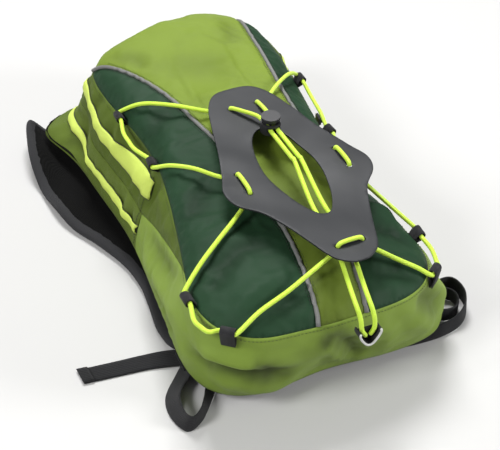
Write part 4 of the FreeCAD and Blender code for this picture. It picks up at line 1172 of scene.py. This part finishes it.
def ribbon(name, lower, upper, body=None, blend=None, replaces=(), thick=1.5 * MM):
    """Webbing given by its two edges, in millimetres."""
    size = max(len(catmull([np.array(q) * MM for q in edge], 2.5 * MM)) for edge in (lower, upper))
    edges = []
    for edge in (lower, upper):
        curve = catmull([np.array(q) * MM for q in edge], 0.5 * MM)
        pick = np.linspace(0, len(curve) - 1, size)
        edges.append(np.stack([np.interp(pick, range(len(curve)), curve[:, k]) for k in range(3)], 1))
    a, b = edges
    middle = (a + b) / 2
    t = np.gradient(middle, axis=0)
    side = b - a
    n = np.cross(t, side)
    n /= np.linalg.norm(n, axis=1)[:, None]
    verts, uvs, faces = [], [], []
    across = 6
    for i in range(size):
        for k in range(across + 1):
            for h in (-0.5, 0.5):
                edge_fade = 0.6 if k in (0, across) else 1.0
                verts.append(a[i] + side[i] * k / across + n[i] * h * thick * edge_fade)
                uvs.append((i * 0.6, k / across))
    step = 2 * (across + 1)
    for i in range(size - 1):
        for k in range(across):
            p0, q0 = i * step + 2 * k, (i + 1) * step + 2 * k
            faces.append((p0, q0, q0 + 2, p0 + 2))
            faces.append((p0 + 1, p0 + 3, q0 + 3, q0 + 1))
        for k, flip in ((0, False), (across, True)):
            p0, q0 = i * step + 2 * k, (i + 1) * step + 2 * k
            faces.append((p0, p0 + 1, q0 + 1, q0) if not flip else (p0, q0, q0 + 1, p0 + 1))
    for i in (0, size - 1):
        for k in range(across):
            p0 = i * step + 2 * k
            faces.append((p0, p0 + 2, p0 + 3, p0 + 1) if i == 0 else (p0, p0 + 1, p0 + 3, p0 + 2))
    obj = new_object(name, verts, faces, "webbing", body, replaces=replaces, uvs=uvs)
    if blend:
        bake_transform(obj)
    return obj


left_low = [(-111, -140, 3), (-122, -152, 2), (-138, -172, 1), (-141, -194, 1), (-133, -214, 1), (-119, -209, 1),
            (-107, -196, 1), (-96, -182, 2), (-88, -170, 3)]
left_high = [(-92, -142, 6), (-104, -157, 10), (-126, -180, 13), (-131, -202, 15), (-127, -214, 18), (-118, -208, 18),
             (-111, -196, 15), (-104, -181, 11), (-96, -168, 9)]
ribbon("adjuster_left", left_low, left_high,
       blend=("strap_left", "pack", (-0.112, -0.148, 0.006), (-0.107, -0.190, 0.009)),
       replaces=("adjuster_webbing_left",))
right_low = [(121, -150, 2), (140, -146, 2), (158, -148, 1), (163, -161, 1), (158, -178, 1), (144, -191, 1),
             (122, -198, 2), (98, -199, 3), (76, -197, 3)]
right_high = [(121, -150, 12), (141, -145, 18), (157, -146, 20), (162, -159, 20), (157, -176, 20), (143, -188, 15),
              (122, -189, 9), (98, -184, 6), (76, -181, 5)]
ribbon("adjuster_right", right_low, right_high,
       blend=("strap_right", "pack", (0.136, -0.150, 0.006), (0.130, -0.204, 0.009)),
       replaces=("adjuster_webbing_right",))
spare_low = [(124, -152, 2), (139, -151, 2), (151, -156, 1), (154, -167, 1), (147, -178, 1), (136, -180, 1), (124, -176, 1)]
spare_high = [(x, y, min(16, z + 15)) for x, y, z in spare_low]
ribbon("adjuster_right_spare", spare_low, spare_high,
       blend=("strap_right", "pack", (0.136, -0.152, 0.006), (0.130, -0.182, 0.009)))

flat_low = [(-106, -147, 5.4), (-120, -141, 3.0), (-140, -135.5, 1.4), (-170, -132.5, 1.0), (-199, -130, 1.0)]
flat_high = [(-106, -128, 5.4), (-120, -121, 3.0), (-140, -117, 1.4), (-171, -114.5, 1.0), (-201, -112, 1.0)]
tail_parts = [ribbon("tail_strip", flat_low, flat_high)]
tail_parts.append(ribbon("tail_fold", [(-190, -131, 2.6), (-194, -130.6, 2.6), (-199.5, -130, 2.6)],
                         [(-192, -113, 2.6), (-196, -112.6, 2.6), (-201.5, -112, 2.6)], thick=1.8 * MM))
join("tail_webbing", tail_parts, "ladder_left", ("webbing_tail_left",))

for word, body, x0, x1 in (("left", "sternum", -67, -12), ("right", "sternum_plug", 19, 48)):
    ribbon(f"sternum_strap_{word}", [(x0, 52.5, 4.8), ((x0 + x1) / 2, 52.5, 4.3), (x1, 52.5, 4.8)],
           [(x0, 67.5, 4.8), ((x0 + x1) / 2, 67.5, 4.3), (x1, 67.5, 4.8)], body, replaces=(f"sternum_webbing_{word}",))

arc = catmull([(x, y, 36) for x, y in ((-36, 256), (-30, 268), (-14, 279), (0, 282), (14, 279), (30, 268), (36, 256))], 3)
flat = [(math.copysign(abs(x) ** 0.7, x) * 10 * MM, y * 3 * MM) for x, y in circle(1, 20)]
sweep("handle_loop", arc * MM, flat, "webbing", "handle", replaces=("grab_handle",), pitch=4 * MM)

# ------------------------------------------------------------------ finishes on the parts kept from the frame


def dress(name, mat, bevel=0.5 * MM):
    """Gives a frame node its finish, with its sharp edges broken."""
    obj = NODES[name]
    obj.data.materials.clear()
    obj.data.materials.append(MAT[mat])
    if bevel:
        modifier(obj, "WELD", "Weld", merge_threshold=0.01 * MM)
        modifier(obj, "BEVEL", "Edges", width=bevel, segments=2, limit_method="ANGLE", angle_limit=math.radians(40))


for name in ("cord_lock_body", "cord_lock_button", "ladder_lock_left", "ladder_lock_right", "sternum_buckle_socket",
             "sternum_buckle_plug"):
    dress(name, "plastic", 0.4 * MM)
for name in ("main_zip_slider", "front_zip_slider", "main_zip_pull", "front_zip_pull"):
    dress(name, "metal", 0.25 * MM)
dress("reservoir", "film", 0)
dress("hose", "film", 0)
dress("reservoir_cap", "cap", 0.4 * MM)
dress("bite_valve", "cap", 1.2 * MM)

# ------------------------------------------------------------------ camera, floor and light

floor_mesh = bpy.data.meshes.new("floor")
SIZE = 6.0
rows = [(-SIZE, -SIZE, 0), (SIZE, -SIZE, 0), (SIZE, SIZE, 0), (-SIZE, SIZE, 0)]
floor_mesh.from_pydata(rows, [], [(0, 1, 2, 3)])
floor = bpy.data.objects.new("floor", floor_mesh)
bpy.context.scene.collection.objects.link(floor)
floor_mat = bpy.data.materials.new("floor_white")
floor_mat.use_nodes = True
floor_bsdf = floor_mat.node_tree.nodes["Principled BSDF"]
floor_bsdf.inputs["Base Color"].default_value = (0.470, 0.467, 0.462, 1)
floor_bsdf.inputs["Roughness"].default_value = 0.7
floor.data.materials.append(floor_mat)

world = bpy.data.worlds.new("studio")
world.use_nodes = True
world.node_tree.nodes["Background"].inputs["Color"].default_value = (1.0, 0.995, 0.985, 1)
world.node_tree.nodes["Background"].inputs["Strength"].default_value = 0.29
bpy.context.scene.world = world


def area_light(name, place, target, size, power):
    data = bpy.data.lights.new(name, "AREA")
    data.shape = "SQUARE"
    data.size = size
    data.energy = power
    lamp = bpy.data.objects.new(name, data)
    lamp.location = place
    lamp.rotation_euler = (Vector(target) - Vector(place)).to_track_quat("-Z", "Y").to_euler()
    bpy.context.scene.collection.objects.link(lamp)


area_light("key", (0.25, 1.0, 2.0), (0, 0, 0.05), 0.8, 62)
area_light("left", (-1.6, -0.5, 1.5), (0, 0, 0.05), 0.6, 36)
area_light("right", (1.7, -1.3, 1.0), (0, 0, 0.05), 0.6, 42)

target = Vector((-0.018, -0.070, 0.080))
forward = Vector((0.289, 0.715, -0.636)).normalized()
camera_data = bpy.data.cameras.new("camera")
camera_data.lens = 74.2
camera_data.sensor_width = 36.0
camera = bpy.data.objects.new("camera", camera_data)
camera.location = target - forward * 0.950
camera.rotation_euler = forward.to_track_quat("-Z", "Y").to_euler()
bpy.context.scene.collection.objects.link(camera)
bpy.context.scene.camera = camera
bpy.context.scene.view_settings.view_transform = "Standard"
